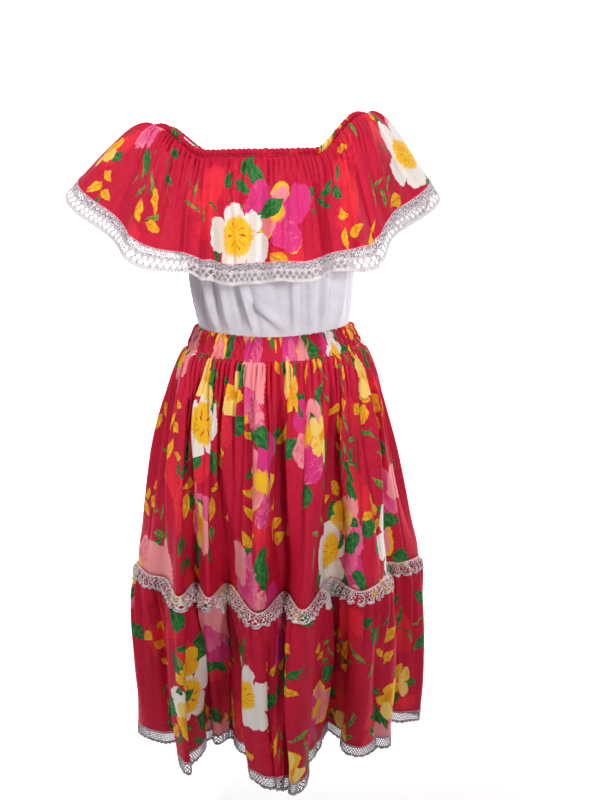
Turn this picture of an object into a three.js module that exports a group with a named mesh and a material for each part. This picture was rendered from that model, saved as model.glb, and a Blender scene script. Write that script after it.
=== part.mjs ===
// Two-piece traditional dress: an off-the-shoulder blouse with a lace-edged ruffle, and a gathered
// skirt in two tiers, with lace over the tier seam and under the hem.
// Millimetres, +Z up, front toward -Y. The origin is the middle of the waist, level with the top of
// the waistband. All cloth keeps the hollow form that it has when it is worn.
import * as THREE from "three";

// Thickness of each cloth, and the gap that is left at every seam.
const COTTON = 1.6;
const LAWN = 1.4;
const LACE = 1.2;
const SEAM_GAP = 0.3;

// Columns of points round the skirt and round the ruffle. Every other column is the top of a gather.
const COLUMNS_PER_FOLD = 3;
const RUFFLE_COLUMNS = 88;
const BODICE_COLUMNS = 20;

// Skirt: an oval waist, and how far down the waistband, the tier seam and the hem lie.
const WAIST = { halfWidth: 138, halfDepth: 96, dip: 5 };
const BAND = { height: 38, inside: 1.2, outside: 1.2, gather: 1.8, flatHalfAngle: 22 };
const TIER = { drop: 430, halfWidth: 258, halfDepth: 252, frontDip: 16, crestDip: 8 };
const HEM = { drop: 782, frontDip: 6, crestDip: 4 };
const SKIRT_LACE = 24;

// How the skirt opens out below the waist. spread goes from the waist oval to the tier oval, fold is
// the share of the folds' full depth, waistGather and tierGather are the height of the small gathers,
// and puff is how far the gathered lower tier stands out below the seam.
const SKIRT_SECTIONS = [
  { drop: 0, spread: 0, fold: 0, waistGather: 1.6, tierGather: 0, puff: 0 },
  { drop: 38, spread: 0.165, fold: 0.02, waistGather: 3.0, tierGather: 0, puff: 0 },
  { drop: 62, spread: 0.31, fold: 0.08, waistGather: 3.4, tierGather: 0, puff: 0 },
  { drop: 117, spread: 0.434, fold: 0.22, waistGather: 2.4, tierGather: 0, puff: 0 },
  { drop: 174, spread: 0.566, fold: 0.38, waistGather: 1.0, tierGather: 0, puff: 0 },
  { drop: 231, spread: 0.689, fold: 0.53, waistGather: 0, tierGather: 0, puff: 0 },
  { drop: 347, spread: 0.885, fold: 0.8, waistGather: 0, tierGather: 0, puff: 0 },
  { drop: 430, spread: 1, fold: 1, waistGather: 0, tierGather: 0, puff: 0 },
  { drop: 454, spread: 1, fold: 1, waistGather: 0, tierGather: 2.4, puff: 6 },
  { drop: 540, spread: 1, fold: 1, waistGather: 0, tierGather: 0, puff: 6 },
  { drop: 782, spread: 1, fold: 1, waistGather: 0, tierGather: 0, puff: 4 },
];

// Folds round the skirt, from the left side seam across the front and back round the rear. Each row
// is where one crest or valley stands at the tier seam and at the hem, and crest is how much of a
// crest it is. The right side seam is the row named so.
const FOLDS = [
  { seamX: -264, seamY: -8, hemX: -276, hemY: -14, crest: 1 },
  { seamX: -240, seamY: -74, hemX: -224, hemY: -60, crest: 0.8 },
  { seamX: -198, seamY: -116, hemX: -186, hemY: -64, crest: 0.2 },
  { seamX: -172, seamY: -182, hemX: -168, hemY: -172, crest: 1 },
  { seamX: -146, seamY: -122, hemX: -144, hemY: -72, crest: 0 },
  { seamX: -120, seamY: -178, hemX: -122, hemY: -60, crest: 0.8 },
  { seamX: -88, seamY: -120, hemX: -92, hemY: -54, crest: 0 },
  { seamX: -34, seamY: -232, hemX: -32, hemY: -208, crest: 1 },
  { seamX: 12, seamY: -150, hemX: 2, hemY: -228, crest: 0.1 },
  { seamX: 44, seamY: -226, hemX: 36, hemY: -222, crest: 1 },
  { seamX: 92, seamY: -116, hemX: 84, hemY: -26, crest: 0 },
  { seamX: 146, seamY: -164, hemX: 124, hemY: -108, crest: 1 },
  { seamX: 194, seamY: -106, hemX: 198, hemY: -92, crest: 0.6 },
  { seamX: 186, seamY: -54, hemX: 192, hemY: -14, crest: 0 },
  { seamX: 234, seamY: -44, hemX: 236, hemY: 2, crest: 0.6 },
  { seamX: 262, seamY: 10, hemX: 260, hemY: 26, crest: 1, side: "right" },
  { seamX: 190, seamY: 54, hemX: 184, hemY: 60, crest: 0 },
  { seamX: 215, seamY: 122, hemX: 220, hemY: 126, crest: 1 },
  { seamX: 140, seamY: 122, hemX: 132, hemY: 116, crest: 0 },
  { seamX: 147, seamY: 195, hemX: 150, hemY: 200, crest: 1 },
  { seamX: 80, seamY: 156, hemX: 74, hemY: 148, crest: 0 },
  { seamX: 68, seamY: 236, hemX: 70, hemY: 240, crest: 1 },
  { seamX: 16, seamY: 172, hemX: 14, hemY: 160, crest: 0 },
  { seamX: -26, seamY: 245, hemX: -24, hemY: 249, crest: 1 },
  { seamX: -60, seamY: 164, hemX: -56, hemY: 154, crest: 0 },
  { seamX: -121, seamY: 214, hemX: -126, hemY: 218, crest: 1 },
  { seamX: -119, seamY: 138, hemX: -112, hemY: 130, crest: 0 },
  { seamX: -190, seamY: 152, hemX: -196, hemY: 156, crest: 1 },
  { seamX: -170, seamY: 92, hemX: -162, hemY: 90, crest: 0 },
  { seamX: -232, seamY: 88, hemX: -240, hemY: 92, crest: 0.8 },
  { seamX: -214, seamY: 46, hemX: -206, hemY: 46, crest: 0.2 },
  { seamX: -250, seamY: 26, hemX: -258, hemY: 24, crest: 0.8 },
];

// Rows of each skirt panel, as distances below the waist.
const UPPER_ROWS = [BAND.height + SEAM_GAP, 62, 117, 200, 290, 365, TIER.drop];
const LOWER_ROWS = [TIER.drop + SEAM_GAP, TIER.drop + SKIRT_LACE, 540, 640, 756];
const HEM_LACE_ROWS = [756 + SEAM_GAP, HEM.drop];

// Neckline: an oval ring that is level across the chest and rises to the top of each shoulder.
// The blouse leans a little to the left of the waist.
const NECK = { middle: -16, halfWidth: 180, halfDepth: 105, height: 302, levelHalf: 92, topHalf: 168 };
const SHOULDER_RISE = { left: 46, right: 60 };
const CASING = { height: 11, seat: 0.6, inside: 1.2, outside: 1.0, gather: 1.2 };

// Lower edge of the ruffle, lace included, at angles from the front round through the right side.
const RUFFLE_EDGE = [
  { angle: 0, x: -20, y: -172, z: 94 },
  { angle: 30, x: 92, y: -164, z: 98 },
  { angle: 55, x: 184, y: -138, z: 124 },
  { angle: 72, x: 240, y: -74, z: 178 },
  { angle: 90, x: 302, y: 4, z: 230 },
  { angle: 108, x: 254, y: 76, z: 180 },
  { angle: 125, x: 186, y: 132, z: 128 },
  { angle: 150, x: 92, y: 158, z: 102 },
  { angle: 180, x: -20, y: 165, z: 96 },
  { angle: 210, x: -132, y: 158, z: 104 },
  { angle: 235, x: -232, y: 132, z: 140 },
  { angle: 252, x: -308, y: 76, z: 200 },
  { angle: 270, x: -358, y: 4, z: 252 },
  { angle: 288, x: -314, y: -70, z: 194 },
  { angle: 305, x: -236, y: -138, z: 134 },
  { angle: 330, x: -132, y: -164, z: 100 },
];
// The ruffle leaves the ring just outside the bodice. crown lifts its profile over the shoulder.
const RUFFLE = { setOut: 1.4, gather: 1.5, gatherReach: 0.45, crown: 26, crownOut: 10 };
const WAVES = { count: 14, height: 13, drift: 0.8, driftCount: 3, growth: 1.4 };
const RUFFLE_ROWS = [0, 0.14, 0.34, 0.58, 0.8, 1];
const RUFFLE_LACE = 27;
const RUFFLE_DEPTH = 212;

// Open diamonds of the ruffle lace: two cells to a column of the ruffle.
const DIAMOND = { perColumn: 2, middle: 0.56, halfWidth: 0.23, halfHeight: 0.115 };

// Bodice: half width and half depth at heights from the tucked-in end to the underarm.
const BODICE_SECTIONS = [
  { height: -60, halfWidth: 136, halfDepth: 94 },
  { height: 7, halfWidth: 135.6, halfDepth: 93.6 },
  { height: 24, halfWidth: 139.5, halfDepth: 99 },
  { height: 60, halfWidth: 144, halfDepth: 107 },
  { height: 110, halfWidth: 149, halfDepth: 112 },
  { height: 170, halfWidth: 153, halfDepth: 115 },
];
const BODICE_TOP = { setIn: 2.6, tuck: 5, armholeAngle: 38, armholeCurve: 0.6, lean: -6 };
const BODICE_RISES = [0.5, 1];

const COLOURS = { print: 0xc72b47, lace: 0xf1ece6, lawn: 0xf2f0f5 };
const ROUGHNESS = 0.85;
const LIMIT_OF_MITRE = 3;

const { degToRad, lerp, clamp } = THREE.MathUtils;
const FRONT = -Math.PI / 2;

// Value of one column of a table at a place between its rows.
function readTable(table, key, place, column) {
  const above = table.findIndex((row) => row[key] >= place);
  if (above <= 0) return table[above === 0 ? 0 : table.length - 1][column];
  const low = table[above - 1];
  const high = table[above];
  return lerp(low[column], high[column], (place - low[key]) / (high[key] - low[key]));
}

// Curves through the folds at the tier seam and at the hem. They share their rows, so one place t
// along both is one line of the cloth.
const closedCurve = (points) => new THREE.CatmullRomCurve3(points, true, "catmullrom");
const seamCurve = closedCurve(FOLDS.map((row) => new THREE.Vector3(row.seamX, row.seamY, 0)));
const hemCurve = closedCurve(FOLDS.map((row) => new THREE.Vector3(row.hemX, row.hemY, 0)));
const SKIRT_COLUMNS = COLUMNS_PER_FOLD * FOLDS.length;
const RIGHT_SIDE = COLUMNS_PER_FOLD * FOLDS.findIndex((row) => row.side === "right");

// The cloth is gathered evenly, so a column's angle at the waist follows the length of seam before it.
const seamLengths = seamCurve.getLengths(SKIRT_COLUMNS);
const waistAngles = seamLengths.map((length, column) => {
  const half = seamLengths[RIGHT_SIDE];
  if (column <= RIGHT_SIDE) return FRONT + (Math.PI * length) / half;
  return -FRONT + (Math.PI * (length - half)) / (seamLengths[SKIRT_COLUMNS] - half);
});

// How much of a crest the cloth is at a column.
function crestShare(column) {
  const place = column / COLUMNS_PER_FOLD;
  const row = Math.floor(place) % FOLDS.length;
  const rest = place - Math.floor(place);
  return lerp(FOLDS[row].crest, FOLDS[(row + 1) % FOLDS.length].crest, (1 - Math.cos(Math.PI * rest)) / 2);
}

// How far the cloth hangs below its level at the waist, the tier seam and the hem.
function skirtSag(angle, drop, share) {
  const front = Math.max(0, Math.cos(angle)) ** 2;
  const waist = WAIST.dip * Math.cos(2 * angle);
  const tier = TIER.frontDip * front + TIER.crestDip * share;
  const hem = HEM.frontDip * front + HEM.crestDip * share;
  if (drop <= TIER.drop) return lerp(waist, tier, drop / TIER.drop);
  return lerp(tier, hem, (drop - TIER.drop) / (HEM.drop - TIER.drop));
}

function ovalPoint(halfWidth, halfDepth, angle) {
  return new THREE.Vector3(halfWidth * Math.sin(angle), -halfDepth * Math.cos(angle), 0);
}

// Middle of the skirt's cloth at a column. gather is +1 on top of a gather and -1 between two.
function skirtPoint(column, drop, gather) {
  const at = (key) => readTable(SKIRT_SECTIONS, "drop", drop, key);
  const place = column / SKIRT_COLUMNS;
  const angle = waistAngles[column];
  const seam = seamCurve.getPoint(place);
  const tier = ovalPoint(TIER.halfWidth, TIER.halfDepth, angle);
  const outward = ovalPoint(1, 1, angle);
  const point = new THREE.Vector3();
  if (drop <= TIER.drop) {
    point.copy(ovalPoint(WAIST.halfWidth, WAIST.halfDepth, angle)).lerp(tier, at("spread"));
    point.addScaledVector(seam.sub(tier), at("fold")).addScaledVector(outward, gather * at("waistGather"));
  } else {
    const toHem = (drop - TIER.drop) / (HEM.drop - TIER.drop);
    const tangent = seamCurve.getTangent(place);
    const facing = new THREE.Vector3(tangent.y, -tangent.x, 0);
    point.copy(seam).lerp(hemCurve.getPoint(place), toHem);
    point.addScaledVector(facing, at("puff") + gather * at("tierGather"));
  }
  return point.setZ(-drop - skirtSag(angle, drop, crestShare(column)));
}

// Ring that the casing, the ruffle and the bodice share.
function neckPoint(angle, setOut) {
  const x = NECK.halfWidth * Math.sin(angle);
  const y = -NECK.halfDepth * Math.cos(angle);
  const climb = THREE.MathUtils.smoothstep(Math.abs(x), NECK.levelHalf, NECK.topHalf);
  const outward = new THREE.Vector3(x / NECK.halfWidth ** 2, y / NECK.halfDepth ** 2, 0).normalize();
  const height = NECK.height + climb * (x < 0 ? SHOULDER_RISE.left : SHOULDER_RISE.right);
  return new THREE.Vector3(x + NECK.middle, y, height).addScaledVector(outward, setOut);
}

// Lower edge of the ruffle without its waves, on a smooth curve through the table's rows.
const edgeCurve = new THREE.CatmullRomCurve3(
  RUFFLE_EDGE.map((row) => new THREE.Vector3(row.x, row.y, row.z)),
  true,
  "centripetal",
);

function edgePoint(angle) {
  const degrees = THREE.MathUtils.euclideanModulo(THREE.MathUtils.radToDeg(angle), 360);
  const following = [...RUFFLE_EDGE.slice(1), { angle: 360 }];
  const step = following.findIndex((row) => row.angle > degrees);
  const start = RUFFLE_EDGE[step].angle;
  const rest = (degrees - start) / (following[step].angle - start);
  return edgeCurve.getPoint((step + rest) / RUFFLE_EDGE.length);
}

// Middle of the ruffle's cloth. reach is 0 at the ring and 1 at the lace edge.
function rufflePoint(angle, reach, gather) {
  const top = neckPoint(angle, RUFFLE.setOut);
  const edge = edgePoint(angle);
  const outward = new THREE.Vector3(edge.x - NECK.middle, edge.y, 0).normalize();
  const side = Math.abs(Math.sin(angle)) ** 3;
  const arch = Math.sin(Math.PI * Math.sqrt(reach));
  const phase = WAVES.count * angle + WAVES.drift * Math.sin(WAVES.driftCount * angle);
  const wave = WAVES.height * reach ** WAVES.growth * Math.cos(phase);
  const fade = clamp(1 - reach / RUFFLE.gatherReach, 0, 1);
  return top
    .lerp(edge, reach)
    .addScaledVector(outward, wave + RUFFLE.crownOut * arch + RUFFLE.gather * gather * fade)
    .setZ(top.z + RUFFLE.crown * side * arch);
}

// Angles of the ruffle's columns, set so that its front half and its back half each run in even
// steps along the edge.
function ruffleAngles() {
  const fine = 720;
  const half = RUFFLE_COLUMNS / 2;
  const angles = [];
  for (let start = 0; start < 2; start += 1) {
    const lengths = [0];
    for (let step = 1; step <= fine; step += 1) {
      const from = rufflePoint(FRONT + Math.PI * (start + (step - 1) / fine), 1, 0);
      const to = rufflePoint(FRONT + Math.PI * (start + step / fine), 1, 0);
      lengths.push(lengths[step - 1] + from.distanceTo(to));
    }
    for (let column = 0; column < half; column += 1) {
      const step = lengths.findIndex((length) => length >= (lengths[fine] * column) / half);
      angles.push(FRONT + Math.PI * (start + step / fine));
    }
  }
  return angles;
}

// Direction that a level row of cloth faces at a point, longer at a bend so that both sides of the
// bend keep their thickness.
function levelOut(before, point, after) {
  const facing = (from, to) => new THREE.Vector3(to.y - from.y, from.x - to.x, 0).normalize();
  const first = facing(before, point);
  const second = facing(point, after);
  const stretch = 1 / Math.max(1 + first.dot(second), 2 / LIMIT_OF_MITRE ** 2);
  return first.add(second).multiplyScalar(stretch);
}

// Direction that a sloping piece of cloth faces at a point.
function slopedOut(above, below, before, after) {
  return below.clone().sub(above).cross(after.clone().sub(before)).normalize();
}

// Rows of closed rings become rows of sites: a point, the way out of the cloth there, and the way
// along its row.
function ringSites(rows, isLevel) {
  return rows.map((row, i) =>
    row.map((point, j) => {
      const before = row[(j + row.length - 1) % row.length];
      const after = row[(j + 1) % row.length];
      const above = rows[Math.max(i - 1, 0)][j];
      const below = rows[Math.min(i + 1, rows.length - 1)][j];
      const out = isLevel(i) ? levelOut(before, point, after) : slopedOut(above, below, before, after);
      return { point, out, along: after.clone().sub(before).normalize() };
    }),
  );
}

// Cuts a panel out of rings of sites, with half a seam's gap taken off each side.
function cutPanel(rows, first, last) {
  return rows.map((row) => {
    const cut = [];
    for (let j = first; j <= last; j += 1) {
      const site = row[j % row.length];
      const inset = j === first ? SEAM_GAP / 2 : j === last ? -SEAM_GAP / 2 : 0;
      cut.push({ ...site, point: site.point.clone().addScaledVector(site.along, inset) });
    }
    return cut;
  });
}

function gridTriangles(rows, columns, ring) {
  const triangles = [];
  for (let i = 0; i < rows - 1; i += 1) {
    for (let j = 0; j < (ring ? columns : columns - 1); j += 1) {
      const here = i * columns + j;
      const beside = i * columns + ((j + 1) % columns);
      triangles.push([here, here + columns, beside + columns]);
      triangles.push([here, beside + columns, beside]);
    }
  }
  return triangles;
}

// Closes a sheet of sites into a wall: the sheet moved out, the sheet moved in, and a strip along
// every free edge, round holes too.
function closedWall(sites, triangles, outside, inside) {
  const outer = sites.map((s) => s.point.clone().addScaledVector(s.out, outside + (s.raise ?? 0)));
  const inner = sites.map((s) => s.point.clone().addScaledVector(s.out, -inside));
  const under = sites.length;
  const index = [];
  const edges = new Map();
  for (const [a, b, c] of triangles) {
    index.push(a, b, c, c + under, b + under, a + under);
    for (const [from, to] of [[a, b], [b, c], [c, a]]) {
      if (!edges.delete(`${to} ${from}`)) edges.set(`${from} ${to}`, [from, to]);
    }
  }
  // Both sides of a seam split their edge strips along the same diagonals.
  for (const [from, to] of edges.values()) {
    if (from < to) index.push(to, from, from + under, to, from + under, to + under);
    else index.push(to, from, to + under, from, from + under, to + under);
  }
  const geometry = new THREE.BufferGeometry();
  geometry.setFromPoints([...outer, ...inner]);
  geometry.setIndex(index);
  geometry.computeVertexNormals();
  return geometry;
}

function clothMaterial(color) {
  return new THREE.MeshStandardMaterial({ color, roughness: ROUGHNESS, metalness: 0 });
}

const dress = new THREE.Group();

function addCloth(name, geometry, colour) {
  const mesh = new THREE.Mesh(geometry, clothMaterial(colour));
  mesh.name = name;
  dress.add(mesh);
}

function addPanel(name, rows, colour, outside, inside, ring = false) {
  const triangles = gridTriangles(rows.length, rows[0].length, ring);
  addCloth(name, closedWall(rows.flat(), triangles, outside, inside), colour);
}

// Front and back of a piece that goes all the way round, seamed at column 0 and at the right side.
function addFrontAndBack(name, rings, right, colour, outside, inside) {
  const columns = rings[0].length;
  addPanel(`${name}_front`, cutPanel(rings, 0, right), colour, outside, inside);
  addPanel(`${name}_back`, cutPanel(rings, right, columns), colour, outside, inside);
}

const gatherSign = (column) => (column % 2 ? -1 : 1);

// Skirt panels and laces share their columns, so every seam follows one line.
function skirtRings(drops) {
  const rows = drops.map((drop) => {
    const row = [];
    for (let j = 0; j < SKIRT_COLUMNS; j += 1) {
      row.push(skirtPoint(j, drop, gatherSign(j)));
    }
    return row;
  });
  return ringSites(rows, () => true);
}

// Waistband: an elastic casing, plain inside and gathered outside, but flat at the middle front.
function buildWaistband() {
  const rows = [0, BAND.height].map((drop) => {
    const row = [];
    for (let j = 0; j < SKIRT_COLUMNS; j += 1) {
      row.push(skirtPoint(j, drop, 0));
    }
    return row;
  });
  const rings = ringSites(rows, () => true);
  const flat = degToRad(BAND.flatHalfAngle);
  for (const ring of rings) {
    ring.forEach((site, j) => {
      const offFront = Math.abs(waistAngles[j]) > flat;
      site.raise = offFront && gatherSign(j) > 0 ? BAND.gather : 0;
    });
  }
  addPanel("skirt_waistband", rings, COLOURS.print, BAND.outside, BAND.inside, true);
}

function buildSkirt() {
  const half = COTTON / 2;
  const upper = skirtRings(UPPER_ROWS);
  const lower = skirtRings(LOWER_ROWS);
  const hemLace = skirtRings(HEM_LACE_ROWS);
  const laceBase = half + SEAM_GAP;
  addFrontAndBack("skirt_upper", upper, RIGHT_SIDE, COLOURS.print, half, half);
  addFrontAndBack("skirt_lower", lower, RIGHT_SIDE, COLOURS.print, half, half);
  addFrontAndBack("tier_lace", lower.slice(0, 2), RIGHT_SIDE, COLOURS.lace, laceBase + LACE, -laceBase);
  addFrontAndBack("hem_lace", hemLace, RIGHT_SIDE, COLOURS.lace, LACE / 2, LACE / 2);
}

// Neckline casing: a shirred band that stands on the ring, plain inside and gathered outside.
function buildCasing(angles) {
  const rows = [CASING.height, CASING.seat].map((height) =>
    angles.map((angle) => {
      const point = neckPoint(angle, 0);
      return point.setZ(point.z + height);
    }),
  );
  const rings = ringSites(rows, () => true);
  for (const ring of rings) {
    ring.forEach((site, j) => {
      site.raise = gatherSign(j) > 0 ? CASING.gather : 0;
    });
  }
  addPanel("neckline_casing", rings, COLOURS.print, CASING.outside, CASING.inside, true);
}

// Lace along the ruffle's edge: a strip of cells with an open diamond in each.
function laceStrip(top, bottom) {
  const cells = (top.length - 1) * DIAMOND.perColumn;
  const site = (cell, down) => {
    const place = cell / DIAMOND.perColumn;
    const j = Math.min(Math.floor(place), top.length - 2);
    const mix = (key, rest) => {
      const upper = top[j][key].clone().lerp(top[j + 1][key], rest);
      return upper.lerp(bottom[j][key].clone().lerp(bottom[j + 1][key], rest), down);
    };
    return { point: mix("point", place - j), out: mix("out", place - j) };
  };
  const sites = [];
  const triangles = [];
  for (let cell = 0; cell <= cells; cell += 1) {
    sites.push(site(cell, 0), site(cell, 1));
  }
  for (let cell = 0; cell < cells; cell += 1) {
    const corners = [2 * cell, 2 * cell + 1, 2 * cell + 3, 2 * cell + 2];
    const first = sites.length;
    sites.push(
      site(cell + 0.5 - DIAMOND.halfWidth, DIAMOND.middle),
      site(cell + 0.5, DIAMOND.middle + DIAMOND.halfHeight),
      site(cell + 0.5 + DIAMOND.halfWidth, DIAMOND.middle),
      site(cell + 0.5, DIAMOND.middle - DIAMOND.halfHeight),
    );
    for (let k = 0; k < 4; k += 1) {
      const next = (k + 1) % 4;
      triangles.push([corners[k], corners[next], first + k]);
      triangles.push([corners[next], first + next, first + k]);
    }
  }
  return { sites, triangles };
}

function buildRuffle(angles) {
  const clothReach = 1 - RUFFLE_LACE / RUFFLE_DEPTH;
  const gap = SEAM_GAP / RUFFLE_DEPTH;
  const reaches = [...RUFFLE_ROWS.map((share) => share * clothReach), clothReach + gap, 1];
  const rows = reaches.map((reach) =>
    angles.map((angle, j) => rufflePoint(angle, reach, gatherSign(j))),
  );
  const rings = ringSites(rows, (i) => i === 0);
  const clothRings = rings.slice(0, RUFFLE_ROWS.length);
  const laceRings = rings.slice(RUFFLE_ROWS.length);
  const half = RUFFLE_COLUMNS / 2;
  addFrontAndBack("ruffle", clothRings, half, COLOURS.print, COTTON / 2, COTTON / 2);
  for (const [name, first] of [["front", 0], ["back", half]]) {
    const [top, bottom] = cutPanel(laceRings, first, first + half);
    const { sites, triangles } = laceStrip(top, bottom);
    addCloth(`ruffle_lace_${name}`, closedWall(sites, triangles, LACE / 2, LACE / 2), COLOURS.lace);
  }
}

// Bodice: middle of its cloth on one side, front or back, between the tucked-in end and the ring.
function bodiceRow(facing, halfWidth, halfDepth, heightAt, limit, mixTop) {
  const row = [];
  for (let j = 0; j <= BODICE_COLUMNS; j += 1) {
    const share = (2 * j) / BODICE_COLUMNS - 1;
    const angle = facing + share * limit;
    const top = neckPoint(angle, -BODICE_TOP.setIn);
    const height = heightAt(top);
    const lean = BODICE_TOP.lean * (Math.max(height, 0) / BODICE_SECTIONS.at(-1).height) ** 2;
    const low = new THREE.Vector3(halfWidth * Math.sin(angle), -halfDepth * Math.cos(angle), height);
    low.x += lean * (1 - mixTop);
    top.setZ(height);
    row.push(low.lerp(top, mixTop));
  }
  return row;
}

function buildBodice() {
  const inset = SEAM_GAP / 2 / BODICE_SECTIONS[0].halfDepth;
  const underarm = BODICE_SECTIONS[BODICE_SECTIONS.length - 1];
  for (const [name, facing] of [["front", 0], ["back", Math.PI]]) {
    const rows = BODICE_RISES.slice()
      .reverse()
      .map((rise) => {
        const limit = Math.PI / 2 - degToRad(BODICE_TOP.armholeAngle) * rise ** BODICE_TOP.armholeCurve;
        const heightAt = (top) => lerp(underarm.height, top.z + BODICE_TOP.tuck, rise);
        return bodiceRow(facing, underarm.halfWidth, underarm.halfDepth, heightAt, limit, rise);
      });
    for (const section of BODICE_SECTIONS.slice().reverse()) {
      const limit = Math.PI / 2 - inset;
      const { halfWidth, halfDepth, height } = section;
      rows.push(bodiceRow(facing, halfWidth, halfDepth, () => height, limit, 0));
    }
    const last = BODICE_COLUMNS;
    const sites = rows.map((row, i) =>
      row.map((point, j) => {
        const above = rows[Math.max(i - 1, 0)][j];
        const below = rows[Math.min(i + 1, rows.length - 1)][j];
        const out = slopedOut(above, below, row[Math.max(j - 1, 0)], row[Math.min(j + 1, last)]);
        return { point, out: i === 0 ? out.setZ(0).normalize() : out };
      }),
    );
    addPanel(`bodice_${name}`, sites, COLOURS.lawn, LAWN / 2, LAWN / 2);
  }
}

const angles = ruffleAngles();
buildCasing(angles);
buildRuffle(angles);
buildBodice();
buildWaistband();
buildSkirt();

export default dress;
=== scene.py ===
# Traditional two-piece dress, filled out as worn: an off-the-shoulder blouse with a lace-edged
# ruffle over a white bodice, and a gathered skirt in two tiers with lace at the seam and the hem.
# Metres, +Z up, front toward -Y. The origin is the middle of the waist.
import math

import bpy
import numpy as np
from mathutils import Matrix


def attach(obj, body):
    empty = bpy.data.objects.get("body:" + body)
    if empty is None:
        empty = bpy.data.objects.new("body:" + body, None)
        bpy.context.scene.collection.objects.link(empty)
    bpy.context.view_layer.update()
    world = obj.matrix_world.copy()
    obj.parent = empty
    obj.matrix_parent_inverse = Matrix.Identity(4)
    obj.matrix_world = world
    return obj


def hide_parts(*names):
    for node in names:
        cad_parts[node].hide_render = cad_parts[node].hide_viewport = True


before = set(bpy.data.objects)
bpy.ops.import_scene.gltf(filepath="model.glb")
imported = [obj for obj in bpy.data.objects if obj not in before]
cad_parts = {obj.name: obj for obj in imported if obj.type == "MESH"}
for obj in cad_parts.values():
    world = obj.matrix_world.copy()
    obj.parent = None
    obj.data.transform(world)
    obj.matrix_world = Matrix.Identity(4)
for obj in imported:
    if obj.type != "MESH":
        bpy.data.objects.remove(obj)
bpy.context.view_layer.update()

# Bodice
# The body of the blouse is plain white cotton lawn: a front and a back, seamed at the sides, caught
# into the neckline casing above and tucked inside the skirt below.
NECK_MIDDLE = -0.016
NECK_HALF_WIDTH = 0.180
NECK_HALF_DEPTH = 0.105
NECK_HEIGHT = 0.302
NECK_LEVEL_HALF = 0.092
NECK_TOP_HALF = 0.168
SHOULDER_RISE_LEFT = 0.046
SHOULDER_RISE_RIGHT = 0.060

LAWN_THICKNESS = 0.0007
BODICE_COLUMNS = 121
BODICE_ROWS = 72
BODICE_SET_IN = 0.0026
BODICE_TUCK = 0.005
BODICE_LEAN = -0.006
ARMHOLE_ANGLE = math.radians(38)
ARMHOLE_CURVE = 0.6
BODICE_LOW = -0.060
UNDERARM = 0.170

# Height, half width and half depth from the tucked-in end to the underarm.
BODICE_SECTIONS = [
    (-0.060, 0.136, 0.094), (0.007, 0.1356, 0.0936),
    (0.024, 0.1395, 0.099), (0.060, 0.144, 0.107),
    (0.110, 0.149, 0.112), (0.170, 0.153, 0.115),
]

# Soft folds. Each row is where a fold starts and ends along the cloth, in degrees, where it starts
# and ends down the cloth, how high it stands or, below 0, how deep it sinks, and its half width.
BODICE_FRONT_FOLDS = [
    (-72, -66, 0.135, -0.020, 0.0052, 3.0), (-62, -58, 0.150, -0.020, -0.0056, 2.6),
    (-52, -47, 0.160, -0.015, 0.0074, 2.4), (-45, -42, 0.140, -0.020, -0.0050, 2.2),
    (-37, -33, 0.150, -0.020, 0.0060, 2.2), (-29, -22, 0.120, -0.004, -0.0046, 2.4),
    (-22, -13, 0.112, -0.008, 0.0078, 1.9), (-17, -9, 0.104, -0.010, -0.0066, 2.0),
    (-18, 13, 0.068, -0.002, 0.0058, 3.0), (-13, 9, 0.044, -0.012, -0.0046, 3.0),
    (-2, 4, 0.120, 0.052, -0.0036, 3.6), (14, 16, 0.140, -0.020, 0.0070, 1.7),
    (19, 20, 0.130, -0.020, -0.0066, 1.7), (26, 29, 0.140, -0.015, 0.0064, 2.0),
    (33, 34, 0.120, -0.020, -0.0052, 2.2), (40, 38, 0.140, -0.020, 0.0070, 2.2),
    (50, 46, 0.130, -0.020, -0.0056, 2.6), (61, 55, 0.150, -0.015, 0.0056, 2.8),
    (74, 68, 0.140, 0.000, -0.0046, 3.0),
]
BODICE_BACK_FOLDS = [
    (-72, -65, 0.140, -0.020, 0.0056, 3.2), (-62, -57, 0.125, -0.015, -0.0052, 2.8),
    (-49, -44, 0.150, -0.020, 0.0070, 2.6), (-39, -33, 0.115, -0.010, -0.0058, 2.4),
    (-27, -22, 0.140, -0.020, 0.0064, 2.2), (-16, -13, 0.105, -0.015, -0.0050, 2.2),
    (-6, 4, 0.118, -0.005, 0.0060, 2.4), (7, 9, 0.125, -0.020, -0.0056, 2.1),
    (20, 16, 0.145, -0.015, 0.0068, 2.0), (30, 25, 0.110, -0.020, -0.0052, 2.6),
    (43, 38, 0.145, -0.010, 0.0064, 2.6), (55, 49, 0.120, -0.020, -0.0058, 2.8),
    (68, 61, 0.140, -0.020, 0.0056, 3.0),
]


def through_rows(rows, column, places):
    """Smooth curve through one column of a table, over its first column, without overshoot."""
    x = np.array([row[0] for row in rows], float)
    y = np.array([row[column] for row in rows], float)
    gaps = np.diff(x)
    slopes = np.diff(y) / gaps
    tangents = np.zeros_like(y)
    tangents[0] = slopes[0]
    tangents[-1] = slopes[-1]
    before = slopes[:-1]
    after = slopes[1:]
    bends = before * after > 0
    tangents[1:-1][bends] = 2 * before[bends] * after[bends] / (before[bends] + after[bends])
    places = np.clip(places, x[0], x[-1])
    i = np.clip(np.searchsorted(x, places) - 1, 0, len(gaps) - 1)
    t = (places - x[i]) / gaps[i]
    first = (1 + 2 * t) * (1 - t) ** 2 * y[i] + t * (1 - t) ** 2 * tangents[i] * gaps[i]
    last = t * t * (3 - 2 * t) * y[i + 1] - t * t * (1 - t) * tangents[i + 1] * gaps[i]
    return first + last


def smooth_step(x, low, high):
    t = np.clip((x - low) / (high - low), 0, 1)
    return t * t * (3 - 2 * t)


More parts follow.
